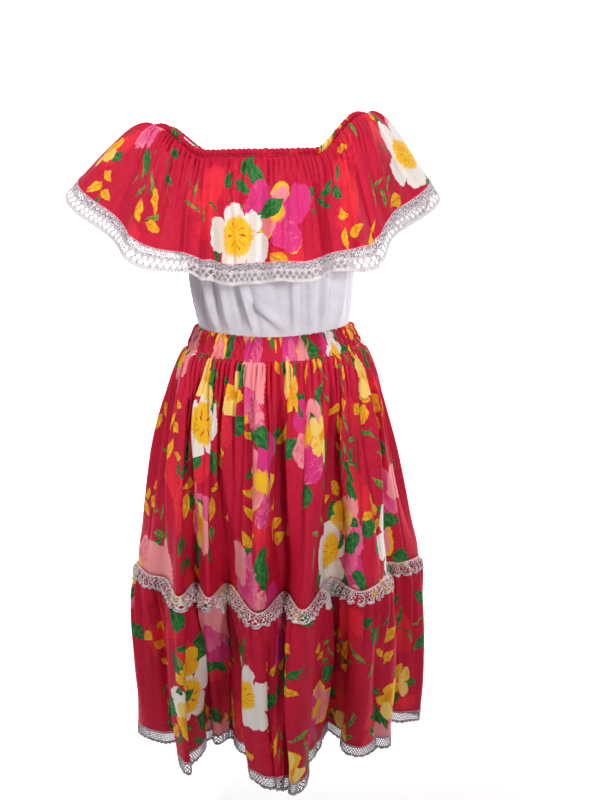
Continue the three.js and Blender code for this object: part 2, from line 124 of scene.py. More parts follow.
def neck_point(angle, set_out):
    """Ring that the casing, the ruffle and the bodice share; angle runs from the front to +X."""
    x = NECK_HALF_WIDTH * np.sin(angle)
    y = -NECK_HALF_DEPTH * np.cos(angle)
    climb = smooth_step(np.abs(x), NECK_LEVEL_HALF, NECK_TOP_HALF)
    outward = np.stack([x / NECK_HALF_WIDTH**2, y / NECK_HALF_DEPTH**2], -1)
    outward /= np.linalg.norm(outward, axis=-1)[..., None]
    z = NECK_HEIGHT + climb * np.where(x < 0, SHOULDER_RISE_LEFT, SHOULDER_RISE_RIGHT)
    return np.stack(
        [x + NECK_MIDDLE + outward[..., 0] * set_out, y + outward[..., 1] * set_out, z], -1
    )


def fold_field(u, v, rows, peak, around=1e9):
    """Height of a table's round ridges and sharp creases at (u, v), highest at peak along them."""
    total = np.zeros(np.broadcast(u, v).shape)
    for from_u, to_u, from_v, to_v, height, width in rows:
        along = np.clip((v - from_v) / (to_v - from_v), 0, 1)
        rise = np.sin(0.5 * np.pi * np.minimum(along / peak, 1))
        fall = np.cos(0.5 * np.pi * np.clip((along - peak) / (1 - peak), 0, 1))
        across = u - from_u - (to_u - from_u) * along
        across = (across + around / 2) % around - around / 2
        roundness = 1.9 if height > 0 else 1.15
        total += height * rise * fall * np.exp(-np.abs(across / width) ** roundness)
    return total


def uneven_knots(count, seed, looseness):
    """Creases between gathers, from 0 to 1, none of them evenly spaced."""
    random = np.random.default_rng(seed)
    widths = random.uniform(1 - looseness, 1 + looseness, count)
    return np.concatenate([[0], np.cumsum(widths)]) / widths.sum()


def gather_field(place, down, knots, seed, lengths, heights):
    """Round gathers side by side, creased between. Each dies out at its own distance down."""
    random = np.random.default_rng(seed)
    count = len(knots) - 1
    reach = lengths[0] + (lengths[1] - lengths[0]) * random.uniform(0, 1, count) ** 1.8
    height = random.uniform(heights[0], heights[1], count)
    cell = np.clip(np.searchsorted(knots, place, side="right") - 1, 0, count - 1)
    across = 2 * (place - knots[cell]) / (knots[cell + 1] - knots[cell]) - 1
    fading = np.cos(0.5 * np.pi * np.clip(down / reach[cell], 0, 1))
    return height[cell] * fading * (0.5 - np.abs(across) ** 2.2)


def columns_between(knots, steps):
    """Places of a grid's columns: every crease, and steps even parts of every gather."""
    parts = np.arange(steps) / steps
    inner = knots[:-1, None] + np.diff(knots)[:, None] * parts
    return np.append(inner.ravel(), knots[-1])


def bodice_point(facing, share, rise):
    """Middle of the lawn. share runs from side to side, rise from the tuck 0 to 1 and the top 2."""
    low = np.clip(rise, 0, 1)
    top = np.clip(rise - 1, 0, 1)
    level = BODICE_LOW + (UNDERARM - BODICE_LOW) * low
    limit = np.pi / 2 - 0.0016 - ARMHOLE_ANGLE * top**ARMHOLE_CURVE
    angle = facing + share * limit
    ring = neck_point(angle, -BODICE_SET_IN)
    lean = BODICE_LEAN * (np.maximum(level, 0) / UNDERARM) ** 2 * (1 - top)
    half_width = through_rows(BODICE_SECTIONS, 1, level)
    half_depth = through_rows(BODICE_SECTIONS, 2, level)
    x = half_width * np.sin(angle) + lean
    y = -half_depth * np.cos(angle)
    x = x + (ring[..., 0] - x) * top
    y = y + (ring[..., 1] - y) * top
    z = level + (ring[..., 2] + BODICE_TUCK - level) * top
    return np.stack([x, y, z], -1)


def facing_out(point_at, u, v, step_u, step_v):
    """Unit normal of a surface, from points a little to each side. u x v has to face outwards."""
    along_u = point_at(u + step_u, v) - point_at(u - step_u, v)
    along_v = point_at(u, v + step_v) - point_at(u, v - step_v)
    normal = np.cross(along_u, along_v)
    return normal / np.linalg.norm(normal, axis=-1)[..., None]


def grid_faces(rows, columns):
    """Quads of a grid of points, row by row downwards and columns to the right, seen from outside."""
    i, j = np.meshgrid(np.arange(rows - 1), np.arange(columns - 1), indexing="ij")
    corner = i * columns + j
    faces = np.stack([corner, corner + columns, corner + columns + 1, corner + 1], -1)
    return faces.reshape(-1, 4)


def sewn_mesh(name, points, faces, cloth_uv, material):
    """Mesh object of one piece, shaded smooth, with its place on the flat cloth as a UV map."""
    mesh = bpy.data.meshes.new(name)
    mesh.from_pydata(points.reshape(-1, 3).tolist(), [], [list(face) for face in faces])
    layer = mesh.uv_layers.new(name="Cloth")
    corners = np.empty(len(mesh.loops), dtype=np.int32)
    mesh.loops.foreach_get("vertex_index", corners)
    layer.data.foreach_set("uv", cloth_uv.reshape(-1, 2)[corners].astype(np.float32).ravel())
    mesh.polygons.foreach_set("use_smooth", np.ones(len(mesh.polygons), dtype=bool))
    mesh.materials.append(material)
    mesh.update()
    piece = bpy.data.objects.new(name, mesh)
    bpy.context.scene.collection.objects.link(piece)
    return piece


def give_thickness(piece, thickness):
    """Closes a sheet into a thin wall, half of it on each side of the sheet."""
    bpy.ops.object.select_all(action="DESELECT")
    bpy.context.view_layer.objects.active = piece
    piece.select_set(True)
    wall = piece.modifiers.new("Wall", "SOLIDIFY")
    wall.thickness = thickness
    wall.offset = 0
    bpy.ops.object.modifier_apply(modifier=wall.name)


class Reading:
    """What a shader node puts out. Sums written with readings become Math nodes."""

    def __init__(self, socket):
        self.socket = socket
        self.tree = socket.id_data

    def __add__(self, other):
        return maths("ADD", self, other)

    def __sub__(self, other):
        return maths("SUBTRACT", self, other)

    def __rsub__(self, other):
        return maths("SUBTRACT", other, self)

    def __mul__(self, other):
        return maths("MULTIPLY", self, other)

    def __truediv__(self, other):
        return maths("DIVIDE", self, other)

    def __abs__(self):
        return maths("ABSOLUTE", self)


def plug(node, key, value):
    """Gives one socket of a node a value, or what another node puts out."""
    if isinstance(value, Reading):
        node.id_data.links.new(value.socket, node.inputs[key])
    else:
        node.inputs[key].default_value = value


def add_node(tree, kind, inputs=None, **settings):
    """New shader node with its settings, and its inputs by name or number."""
    node = tree.nodes.new("ShaderNode" + kind)
    for key, value in settings.items():
        setattr(node, key, value)
    for key, value in (inputs or {}).items():
        plug(node, key, value)
    return node


def tree_of(*values):
    return next(value.tree for value in values if isinstance(value, Reading))


def maths(operation, *values):
    """Math node over readings and plain numbers."""
    node = add_node(tree_of(*values), "Math", dict(enumerate(values)), operation=operation)
    return Reading(node.outputs[0])


def scaled(value, times, plus):
    return maths("MULTIPLY_ADD", value, times, plus)


def parts_of(vector):
    """The three numbers of a vector."""
    node = add_node(vector.tree, "SeparateXYZ", {"Vector": vector})
    return [Reading(socket) for socket in node.outputs]


def noise(vector, scale, output="Fac", **more):
    """Soft clouds over a place; more sets inputs such as Detail."""
    node = add_node(vector.tree, "TexNoise", {"Vector": vector, "Scale": scale, **more})
    return Reading(node.outputs[output])


def step_up(value, low, high):
    """0 below low, 1 above high, and smooth between them; low may be the larger one."""
    inputs = {"Value": value, "From Min": min(low, high), "From Max": max(low, high)}
    if low > high:
        inputs.update({"To Min": 1.0, "To Max": 0.0})
    node = add_node(value.tree, "MapRange", inputs, interpolation_type="SMOOTHSTEP")
    return Reading(node.outputs["Result"])


def mix_colour(share, below, above):
    """Colour that goes from below to above as share goes from 0 to 1."""
    inputs = {0: share, 6: below, 7: above}
    node = add_node(tree_of(share, below, above), "Mix", inputs, data_type="RGBA")
    return Reading(node.outputs[2])


def effect_group(name, numbers, results, kind="Float"):
    """Empty node group that is given a vector and numbers, and puts out results of one kind."""
    tree = bpy.data.node_groups.new(name, "ShaderNodeTree")
    tree.interface.new_socket("Vector", in_out="INPUT", socket_type="NodeSocketVector")
    for label in numbers:
        tree.interface.new_socket(label, in_out="INPUT", socket_type="NodeSocketFloat")
    for label in results:
        tree.interface.new_socket(label, in_out="OUTPUT", socket_type="NodeSocket" + kind)
    entry = tree.nodes.new("NodeGroupInput")
    given = {socket.name: Reading(socket) for socket in entry.outputs if socket.name}
    return tree, given, tree.nodes.new("NodeGroupOutput")


def put_out(exit_node, **results):
    for label, result in results.items():
        plug(exit_node, label, result)


def place_group(group, inputs):
    """Node group at work where its vector comes from, and what it puts out, by name."""
    node = add_node(inputs["Vector"].tree, "Group", inputs, node_tree=group)
    return {socket.name: Reading(socket) for socket in node.outputs}


def cloth_material(name, roughness, sheen, gloss=0.2):
    """Material of a piece of cloth, its shader, and its Cloth UV map."""
    material = bpy.data.materials.new(name)
    material.use_nodes = True
    shader = material.node_tree.nodes["Principled BSDF"]
    plug(shader, "Roughness", roughness)
    plug(shader, "Sheen Weight", sheen)
    plug(shader, "Sheen Roughness", 0.45)
    plug(shader, "Specular IOR Level", gloss)
    uv = add_node(material.node_tree, "UVMap", uv_map="Cloth").outputs["UV"]
    return material, shader, Reading(uv)


def plain_weave():
    """Threads over and under each other, and the unevenness of ironed cotton."""
    group, given, out = effect_group("PlainWeave", ["Threads", "Wrinkles"], ["Height", "Thread", "Cloud"])
    across, down, _ = parts_of(given["Vector"])
    across = maths("SINE", across * given["Threads"])
    down = maths("SINE", down * given["Threads"])
    thread = scaled(across * down, 0.5, 0.5)
    cloud = noise(given["Vector"], 38.0, Detail=3.0, Roughness=0.55)
    height = scaled(thread, 0.06, cloud * given["Wrinkles"])
    put_out(out, Height=height, Thread=thread, Cloud=cloud)
    return group


weave_group = plain_weave()


def weave_bump(shader, uv, threads, wrinkles, distance):
    """Weave that raises a cloth's threads, with its outputs, from which a colour can take painted shade."""
    weave = place_group(weave_group, {"Vector": uv, "Threads": threads, "Wrinkles": wrinkles})
    bump = add_node(uv.tree, "Bump", {"Height": weave["Height"], "Distance": distance, "Strength": 0.6})
    plug(shader, "Normal", Reading(bump.outputs["Normal"]))
    return weave


lawn, lawn_shader, lawn_uv = cloth_material("WhiteLawn", 0.72, 0.03)
lawn_weave = weave_bump(lawn_shader, lawn_uv, 9000.0, 1.0, 0.0011)
# Painted shade: the lawn goes lavender-grey where the wrinkle cloud of its bump sinks and near white where
# it stands.
lawn_colour_painted_shade = mix_colour(lawn_weave["Cloud"], (0.68, 0.66, 0.73, 1), (0.90, 0.88, 0.95, 1))
plug(lawn_shader, "Base Color", lawn_colour_painted_shade)

# The lawn's gathers under the casing: how many on each side, how far down they reach, and height.
LAWN_GATHERS = 44
LAWN_GATHER_REACH = (0.3, 1.5)
LAWN_GATHER_HEIGHT = (0.0030, 0.0060)
LAWN_FOLD_STRENGTH = 1.5
LAWN_SLACK = 1.28
LAWN_FLAT_WIDTH = 2 * BODICE_SECTIONS[-1][1] * LAWN_SLACK

for side, facing, folds, seed in (
    ("front", 0, BODICE_FRONT_FOLDS, 31), ("back", math.pi, BODICE_BACK_FOLDS, 32),
):
    across, down = np.meshgrid(np.linspace(-1, 1, BODICE_COLUMNS), np.linspace(2, 0, BODICE_ROWS))
    knots = uneven_knots(LAWN_GATHERS, seed, 0.35)

    def lawn_at(share, rise):
        return bodice_point(facing, share, rise)

    points = lawn_at(across, down)
    outward = facing_out(lawn_at, across, np.clip(down, 0.002, 1.998), 1e-3, 1e-3)
    level = points[..., 2]
    lift = LAWN_FOLD_STRENGTH * fold_field(across * 90, level, folds, 0.45)
    lift += gather_field(across / 2 + 0.5, 2 - down, knots, 33, LAWN_GATHER_REACH, LAWN_GATHER_HEIGHT)
    # The folds die out where the lawn is tucked in, at the side seams and at the casing.
    lift *= smooth_step(level, -0.055, -0.006) * (0.45 + 0.55 * smooth_step(level, 0.002, 0.03))
    lift *= smooth_step(1 - np.abs(across), 0, 0.05)
    lift *= 1 - 0.8 * smooth_step(down, 1.9, 2.0)
    points = points + outward * lift[..., None]
    cloth_uv = np.stack([across * LAWN_FLAT_WIDTH / 2, level], -1)
    faces = grid_faces(BODICE_ROWS, BODICE_COLUMNS)
    piece = sewn_mesh(f"blouse_bodice_{side}", points, faces, cloth_uv, lawn)
    give_thickness(piece, LAWN_THICKNESS)
    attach(piece, "root")
    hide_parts(f"bodice_{side}")

# Printed cotton
# Light plain-weave cotton for the casing, the ruffle and the whole skirt: crimson, with large pink
# and white blossoms, yellow flowers and leaf sprigs scattered over it, and ghost petals behind them.
CRIMSON = (0.540, 0.009, 0.040, 1)
DEEP_CRIMSON = (0.420, 0.005, 0.029, 1)
SOFT_RED = (0.660, 0.016, 0.042, 1)
SCARLET = (0.800, 0.026, 0.040, 1)
CORAL_PINK = (0.740, 0.140, 0.160, 1)
PALE_PINK = (0.820, 0.270, 0.290, 1)
MAGENTA = (0.640, 0.030, 0.180, 1)
ROSE = (0.740, 0.120, 0.260, 1)
WHITE_PETAL = (0.780, 0.720, 0.670, 1)
SHADED_PETAL = (0.700, 0.560, 0.500, 1)
CREAM = (0.820, 0.560, 0.140, 1)
YELLOW = (0.820, 0.450, 0.016, 1)
DEEP_YELLOW = (0.740, 0.270, 0.008, 1)
LEAF_GREEN = (0.010, 0.105, 0.026, 1)
MIDDLE_GREEN = (0.028, 0.200, 0.042, 1)
LIGHT_GREEN = (0.230, 0.330, 0.040, 1)
STEM_BROWN = (0.300, 0.060, 0.020, 1)
STAMEN_RED = (0.560, 0.040, 0.020, 1)

FULL_TURN = 6.2832
HALF_TURN = 3.1416
TURNS_PER_RADIAN = 0.159155
CELL_MIDDLE = (0.5, 0.5, 0.5)


def vector_maths(operation, *values, **scale):
    """Vector Math node over readings and plain vectors; Scale is given by name."""
    inputs = {**dict(enumerate(values)), **scale}
    node = add_node(tree_of(*values), "VectorMath", inputs, operation=operation)
    return Reading(node.outputs["Vector"])


def turned_about_z(vector, angle):
    node = add_node(vector.tree, "VectorRotate", {"Vector": vector, "Angle": angle}, rotation_type="Z_AXIS")
    return parts_of(Reading(node.outputs["Vector"]))


def white_noise(key):
    """Random draw from 0 to 1 that belongs to a number."""
    node = add_node(key.tree, "TexWhiteNoise", {"W": key}, noise_dimensions="1D")
    return Reading(node.outputs["Value"])


def lattice_cell(given):
    """Place in the nearest cell of a loose lattice, in metres and turned at random, two random draws
    of that cell, and whether anything grows in it."""
    counted = vector_maths("DIVIDE", vector_maths("ADD", given["Vector"], given["Seed"]), given["Cell"])
    whole = vector_maths("FLOOR", counted)
    draws = add_node(whole.tree, "TexWhiteNoise", {"Vector": whole}, noise_dimensions="3D").outputs
    move = vector_maths("SUBTRACT", Reading(draws["Color"]), CELL_MIDDLE)
    move = vector_maths("SCALE", move, Scale=given["Loose"])
    centred = vector_maths("SUBTRACT", vector_maths("SUBTRACT", counted, whole), CELL_MIDDLE)
    local = vector_maths("SCALE", vector_maths("SUBTRACT", centred, move), Scale=given["Cell"])
    picked = add_node(whole.tree, "SeparateColor", {"Color": Reading(draws["Color"])}).outputs
    red, green, blue = (Reading(socket) for socket in picked)
    x, y, _ = turned_about_z(local, blue * FULL_TURN)
    return x, y, red, green, maths("LESS_THAN", Reading(draws["Value"]), given["Share"])


def blossom_effect():
    """One blossom in each cell, turned and moved at random, with long leaves behind its petals."""
    group, given, out = effect_group(
        "Blossom",
        ["Cell", "Radius", "Petals", "Notch", "Share", "Seed", "Loose", "Leaves", "Feather"],
        ["Mask", "Ratio", "Turn", "Petal", "Stroke", "Round", "Leaf", "Rib"],
    )
    x, y, red, green, there = lattice_cell(given)
    long = y * scaled(green, 0.35, 0.72)
    distance = maths("SQRT", maths("MULTIPLY_ADD", x, x, long * long))
    turn = maths("ARCTAN2", long, x) + HALF_TURN

    # Petals: each of its own length, with a ragged edge that follows the brush strokes.
    count = turn * TURNS_PER_RADIAN * given["Petals"]
    off = abs(scaled(maths("FRACT", count), 2.0, -1.0))
    petal_key = scaled(red, 97.0, maths("FLOOR", count))
    petal = white_noise(petal_key)
    lobe = 1.0 - maths("POWER", off, 2.6) * given["Notch"]
    stroke_node = add_node(
        group, "TexNoise",
        {"W": scaled(turn, 7.0, petal_key * 1.7), "Scale": 1.6, "Detail": 3.0, "Roughness": 0.7},
        noise_dimensions="1D",
    )
    stroke = Reading(stroke_node.outputs["Fac"])
    ragged = scaled(stroke - 0.5, given["Feather"], 1.0)
    ratio = distance / (lobe * scaled(petal, 0.50, 0.64) * (ragged * given["Radius"]))
    mask = step_up(ratio, 1.0, 0.97) * there

    # Leaves: some of the places between the petals have one, bent to one side.
    leaf_count = scaled(turn, TURNS_PER_RADIAN, 0.06) * given["Leaves"]
    leaf_draw = white_noise(scaled(green, 61.0, maths("FLOOR", leaf_count)))
    leaf_share = (maths("FRACT", leaf_count) - 0.5) / maths("MAXIMUM", given["Leaves"], 1.0)
    along = distance / given["Radius"]
    leaf_off = abs(scaled(leaf_draw - 0.5, (along - 1.0) * 0.022, leaf_share * (distance * FULL_TURN)))
    part = scaled(along, 1.15, -0.75)
    leaf_width = part * (1.0 - part) * 0.85 * given["Radius"]
    grown = there * maths("MINIMUM", given["Leaves"], 1.0)
    leaf = step_up(leaf_width - leaf_off, 0.0, 0.0006) * (maths("LESS_THAN", leaf_draw, 0.62) * grown)
    rib = step_up(leaf_off, 0.0012, 0.0005) * leaf
    put_out(
        out, Mask=mask, Ratio=ratio, Turn=turn, Petal=petal, Stroke=stroke, Round=along,
        Leaf=leaf, Rib=rib,
    )
    return group


def sprig_effect():
    """One sprig in each cell: a thin bent stem with pointed leaves on both sides of it."""
    group, given, out = effect_group(
        "LeafSprig", ["Cell", "Length", "Leaf", "Width", "Share", "Seed", "Loose"], ["Leaves", "Stem", "Rib"]
    )
    x, y, red, _, there = lattice_cell(given)
    side = scaled(x * x, -5.0, y)
    which_side = maths("SIGN", side)
    step = given["Leaf"] * 0.95
    steps = (x + which_side * (step * 0.27)) / step
    draw = white_noise(scaled(red, 83.0, scaled(which_side, 17.0, maths("FLOOR", steps))))
    away = abs(side)
    in_step = add_node(group, "CombineXYZ", {"X": maths("FRACT", steps) * step, "Y": away})
    leaf_x, leaf_y, _ = turned_about_z(Reading(in_step.outputs["Vector"]), scaled(draw, -0.45, -0.68))
    length = given["Leaf"] * scaled(draw, 0.4, 0.72)
    part = leaf_x / length
    swell = (1.0 - part) * maths("SQRT", maths("MAXIMUM", part, 0.0))
    leaf_off = abs(leaf_y)
    width = maths("MAXIMUM", swell, 0.0) * (length * given["Width"])
    leaf = step_up(width - leaf_off, 0.0, 0.0005)
    along = abs(x)
    grown = maths("LESS_THAN", along, given["Length"]) * maths("LESS_THAN", draw, 0.80)
    leaves = leaf * grown * there
    stem = step_up(away, 0.0012, 0.0007) * maths("LESS_THAN", along, given["Length"] * 0.9) * there
    put_out(out, Leaves=leaves, Stem=stem, Rib=step_up(leaf_off, 0.0010, 0.0004) * leaves)
    return group


blossom_group = blossom_effect()
sprig_group = sprig_effect()

# The whole print. Every layer lies over the ones before it, and the uneven hand of the painter
# bends all of them a little.
print_group, print_given, print_out = effect_group("FlowerPrint", [], ["Color"], "Color")
cloth_place = print_given["Vector"]
brush = noise(cloth_place, 120.0, Detail=3.0, Distortion=0.8)
wide_bend = noise(cloth_place, 15.0, "Color", Detail=1.0)
fine_bend = noise(cloth_place, 95.0, "Color", Detail=1.0)
bent_place = vector_maths("MULTIPLY_ADD", wide_bend, (0.042, 0.042, 0.0), cloth_place)
bent_place = vector_maths("MULTIPLY_ADD", fine_bend, (0.0080, 0.0080, 0.0), bent_place)


def lay_blossoms(below, lattice, form, rim, middle, other=None, heart=None, heart_size=0.0, edge=None):
    """Blossoms whose petals run from middle to rim, some in the other colour, round a heart. lattice
    is cell, radius, share of cells, seed and looseness; form is petals, notch, leaves and feather."""
    inputs = {"Vector": bent_place}
    inputs.update(zip(("Cell", "Radius", "Share", "Seed", "Loose"), lattice))
    inputs.update(zip(("Petals", "Notch", "Leaves", "Feather"), form))
    blossom = place_group(blossom_group, inputs)
    if inputs["Leaves"]:
        leaf = mix_colour(step_up(brush, 0.42, 0.62), LEAF_GREEN, MIDDLE_GREEN)
        leaf = mix_colour(blossom["Rib"] * 0.35, leaf, LIGHT_GREEN)
        below = mix_colour(blossom["Leaf"], below, leaf)
    stroke = blossom["Stroke"]
    shade = scaled(blossom["Ratio"], 0.8, scaled(stroke, 1.3, brush * 0.7) - 1.05)
    petal = mix_colour(step_up(shade, 0.0, 0.7), middle, rim)
    if other:
        turned = scaled(brush, 0.5, blossom["Petal"])
        petal = mix_colour(step_up(turned, 0.70, 0.86), petal, other)
    if edge:
        band = step_up(scaled(stroke, 0.3, blossom["Ratio"]), 0.98, 1.02)
        petal = mix_colour(band * maths("LESS_THAN", blossom["Petal"], 0.40), petal, edge)
    if heart:
        middle_out = scaled(stroke, -0.35, blossom["Round"])
        petal = mix_colour(step_up(middle_out, heart_size + 0.03, heart_size), petal, heart)
    return mix_colour(blossom["Mask"], below, petal), blossom


def lay_sprigs(below, lattice, leaf, width, light, dark, stem):
    """Sprigs whose leaves are light or dark by patches, ribbed, on a stem. lattice is cell, length,
    share of cells, seed and looseness."""
    inputs = {"Vector": bent_place, "Leaf": leaf, "Width": width}
    inputs.update(zip(("Cell", "Length", "Share", "Seed", "Loose"), lattice))
    sprig = place_group(sprig_group, inputs)
    leaf_colour = mix_colour(step_up(brush, 0.40, 0.60), light, dark)
    leaf_colour = mix_colour(sprig["Rib"] * 0.6, leaf_colour, stem)
    return mix_colour(sprig["Leaves"], mix_colour(sprig["Stem"], below, stem), leaf_colour)


ground = mix_colour(step_up(brush, 0.30, 0.70), DEEP_CRIMSON, CRIMSON)
ground = mix_colour(0.45, ground, CRIMSON)
# Ghost blossoms: soft red on the crimson.
layers, _ = lay_blossoms(
    ground, (0.170, 0.086, 0.75, 3.7, 0.35), (5.0, 0.45, 0.0, 0.5), SOFT_RED, SCARLET, CRIMSON
)
for sprigs in (
    ((0.150, 0.052, 0.50, 11.3, 0.35), 0.046, 0.26, LIGHT_GREEN, MIDDLE_GREEN, LEAF_GREEN),
    ((0.185, 0.046, 0.62, 17.9, 0.40), 0.040, 0.60, LEAF_GREEN, MIDDLE_GREEN, LEAF_GREEN),
    ((0.155, 0.046, 0.74, 23.9, 0.40), 0.043, 0.66, YELLOW, DEEP_YELLOW, STEM_BROWN),
):
    layers = lay_sprigs(layers, *sprigs)
# Roses, peonies, then white lilies with red stamens, and small yellow stars on top.
layers, _ = lay_blossoms(
    layers, (0.230, 0.078, 0.40, 31.1, 0.50), (5.0, 0.32, 5.0, 0.07),
    PALE_PINK, CORAL_PINK, MAGENTA, YELLOW, 0.02, YELLOW,
)
layers, _ = lay_blossoms(
    layers, (0.255, 0.072, 0.33, 47.7, 0.55), (4.0, 0.26, 5.0, 0.35), ROSE, MAGENTA, PALE_PINK
)
layers, lily = lay_blossoms(
    layers, (0.235, 0.072, 0.38, 60.3, 0.50), (5.0, 0.40, 6.0, 0.12),
    WHITE_PETAL, SHADED_PETAL, WHITE_PETAL, YELLOW, 0.22,
)
stamen_ring = step_up(lily["Round"], 0.08, 0.12) * step_up(lily["Round"], 0.27, 0.23)
stamens = step_up(maths("SINE", lily["Turn"] * 9.0), 0.75, 1.00) * stamen_ring
layers = mix_colour(stamens * lily["Mask"], layers, STAMEN_RED)
layers, _ = lay_blossoms(
    layers, (0.150, 0.040, 0.40, 71.9, 0.60), (5.0, 0.42, 4.0, 0.25),
    YELLOW, DEEP_YELLOW, CREAM, DEEP_YELLOW, 0.04,
)
put_out(print_out, Color=layers)


def printed_cotton(name, shift):
    """Printed cotton, with the print moved so that no two panels are cut alike."""
    material, shader, uv = cloth_material(name, 0.66, 0.0, 0.16)
    weave = weave_bump(shader, uv, 8400.0, 1.0, 0.0009)
    moved = add_node(uv.tree, "Mapping", {"Vector": uv, "Location": shift}).outputs["Vector"]
    flowers = place_group(print_group, {"Vector": Reading(moved)})
    # Painted shade: the print is a little darker where the weave and the wrinkle cloud of the bump sink, and
    # lighter where they stand.
    thread = scaled(weave["Cloud"], 0.10, scaled(weave["Thread"], 0.10, 0.92))
    plug(shader, "Base Color", vector_maths("SCALE", flowers["Color"], Scale=thread))
    return material


# Neckline casing
# A narrow tube of the same cotton round an elastic. It is shirred all the way round, and the
# ruffle and the bodice are caught into its lower edge.
CASING_STEPS = 1000
CASING_GATHERS = 125
CASING_PUFF = 0.0054
CASING_TOP_WAVE = 0.0026
CASING_FLAT_LENGTH = 2.6

# Cross-section, from the foot of the inside over the top to the foot of the outside: distance out,
# height above the ring, and how much the gathers lift it.
CASING_SECTION = [
    (-0.0012, 0.0006, 0.0), (-0.0012, 0.0102, 0.0), (-0.0006, 0.0115, 0.2), (0.0006, 0.0118, 0.6),
    (0.0015, 0.0108, 0.9), (0.0021, 0.0088, 1.0), (0.0022, 0.0064, 1.0), (0.0020, 0.0040, 0.9),
    (0.0013, 0.0024, 0.35), (0.0011, 0.0016, 0.2), (0.0013, 0.0006, 0.6),
]


def ridges(place, count, seed):
    """Rows of small round ridges at uneven distances; place goes from 0 to 1 round the piece."""
    random = np.random.default_rng(seed)
    knots = np.arange(count + 1) + np.concatenate([[0], random.uniform(-0.24, 0.24, count - 1), [0]])
    heights = random.uniform(0.55, 1.0, count)
    turn = np.interp((place % 1.0) * count, knots, np.arange(count + 1))
    which = np.clip(np.floor(turn).astype(int), 0, count - 1)
    return heights[which] * np.abs(np.sin(np.pi * turn)) ** 0.8


def closed_loop_mesh(name, rings, cloth_uv, material):
    """Tube whose cross-section is closed, from rows of rings that follow that section."""
    rows, columns = rings.shape[:2]
    i, j = np.meshgrid(np.arange(rows), np.arange(columns), indexing="ij")
    below = (i + 1) % rows
    right = (j + 1) % columns
    faces = np.stack(
        [i * columns + j, i * columns + right, below * columns + right, below * columns + j], -1
    )
    return sewn_mesh(name, rings, faces.reshape(-1, 4)[:, ::-1], cloth_uv, material)


casing_place = np.arange(CASING_STEPS) / CASING_STEPS
casing_angle = -np.pi / 2 + 2 * np.pi * casing_place
casing_ridges = ridges(casing_place, CASING_GATHERS, 41)
casing_rings = []
casing_uvs = []
for out, height, lifted in CASING_SECTION:
    ring = neck_point(casing_angle, out + CASING_PUFF * lifted * (casing_ridges - 0.35))
    ring[..., 2] += height + CASING_TOP_WAVE * smooth_step(height, 0.008, 0.0115) * (casing_ridges - 0.4)
    casing_rings.append(ring)
    casing_uvs.append(np.stack([casing_place * CASING_FLAT_LENGTH, np.full(CASING_STEPS, height + out)], -1))
casing_cotton = printed_cotton("CasingPrint", (1.3, 7.1, 0))
casing = closed_loop_mesh("blouse_casing", np.array(casing_rings), np.array(casing_uvs), casing_cotton)
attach(casing, "root")
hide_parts("neckline_casing")

# Ruffle
# Two wide pieces of printed cotton, seamed at the sides and gathered on to the casing. They hang
# over the shoulders, and their lower edge falls in waves.
COTTON_THICKNESS = 0.0008
RUFFLE_GATHERS = 60
RUFFLE_GATHER_REACH = (0.14, 0.90)
RUFFLE_GATHER_HEIGHT = (0.0055, 0.0105)
RUFFLE_ROWS = 66
RUFFLE_TOP_ROWS = 27
RUFFLE_SEAM_GAP = 0.0006
RUFFLE_FLAT_STRETCH = 1.08
RUFFLE_SET_OUT = 0.0014
RUFFLE_CROWN = 0.026
RUFFLE_CROWN_OUT = 0.010
RUFFLE_DEPTH = 0.212
RUFFLE_LACE = 0.027
WAVE_COUNT = 14
WAVE_HEIGHT = 0.013
WAVE_GROWTH = 1.4

# Lower edge, lace included: degrees from the front through the right side, and the point there.
RUFFLE_EDGE = [
    (0, -0.020, -0.172, 0.094), (30, 0.092, -0.164, 0.098), (55, 0.184, -0.138, 0.124),
    (72, 0.240, -0.074, 0.178), (90, 0.302, 0.004, 0.230), (108, 0.254, 0.076, 0.180),
    (125, 0.186, 0.132, 0.128), (150, 0.092, 0.158, 0.102), (180, -0.020, 0.165, 0.096),
    (210, -0.132, 0.158, 0.104), (235, -0.232, 0.132, 0.140), (252, -0.308, 0.076, 0.200),
    (270, -0.358, 0.004, 0.252), (288, -0.314, -0.070, 0.194), (305, -0.236, -0.138, 0.134),
    (330, -0.132, -0.164, 0.100),
]

# Soft folds: degrees at their top and foot, reach at their top and foot, height, half width.
RUFFLE_FRONT_FOLDS = [
    (-76, -80, 0.05, 1.10, 0.0080, 3.0), (-62, -68, 0.04, 0.95, -0.0090, 2.8),
    (-50, -56, 0.06, 1.20, 0.0110, 3.0), (-41, -44, 0.03, 0.90, -0.0090, 2.4),
    (-34, -33, 0.10, 1.40, 0.0135, 2.2), (-29, -25, 0.04, 1.30, -0.0110, 1.8),
    (-22, -19, 0.12, 1.40, 0.0130, 2.0), (-17, -13, 0.05, 1.00, -0.0090, 1.7),
    (-10, -9, 0.08, 1.15, 0.0090, 1.9), (-5, -5, 0.04, 0.80, -0.0070, 1.7),
    (1, 0, 0.06, 1.05, 0.0090, 1.9), (6, 7, 0.05, 1.20, -0.0085, 1.9),
    (12, 13, 0.07, 1.10, 0.0090, 1.9), (19, 19, 0.04, 0.90, -0.0085, 1.8),
    (25, 26, 0.08, 1.20, 0.0100, 2.2), (33, 34, 0.05, 1.05, -0.0090, 2.3),
    (43, 48, 0.10, 1.40, 0.0140, 2.3), (50, 55, 0.12, 1.30, -0.0130, 2.1),
    (61, 66, 0.05, 1.00, 0.0090, 2.6), (74, 78, 0.06, 1.10, -0.0075, 2.8),
]
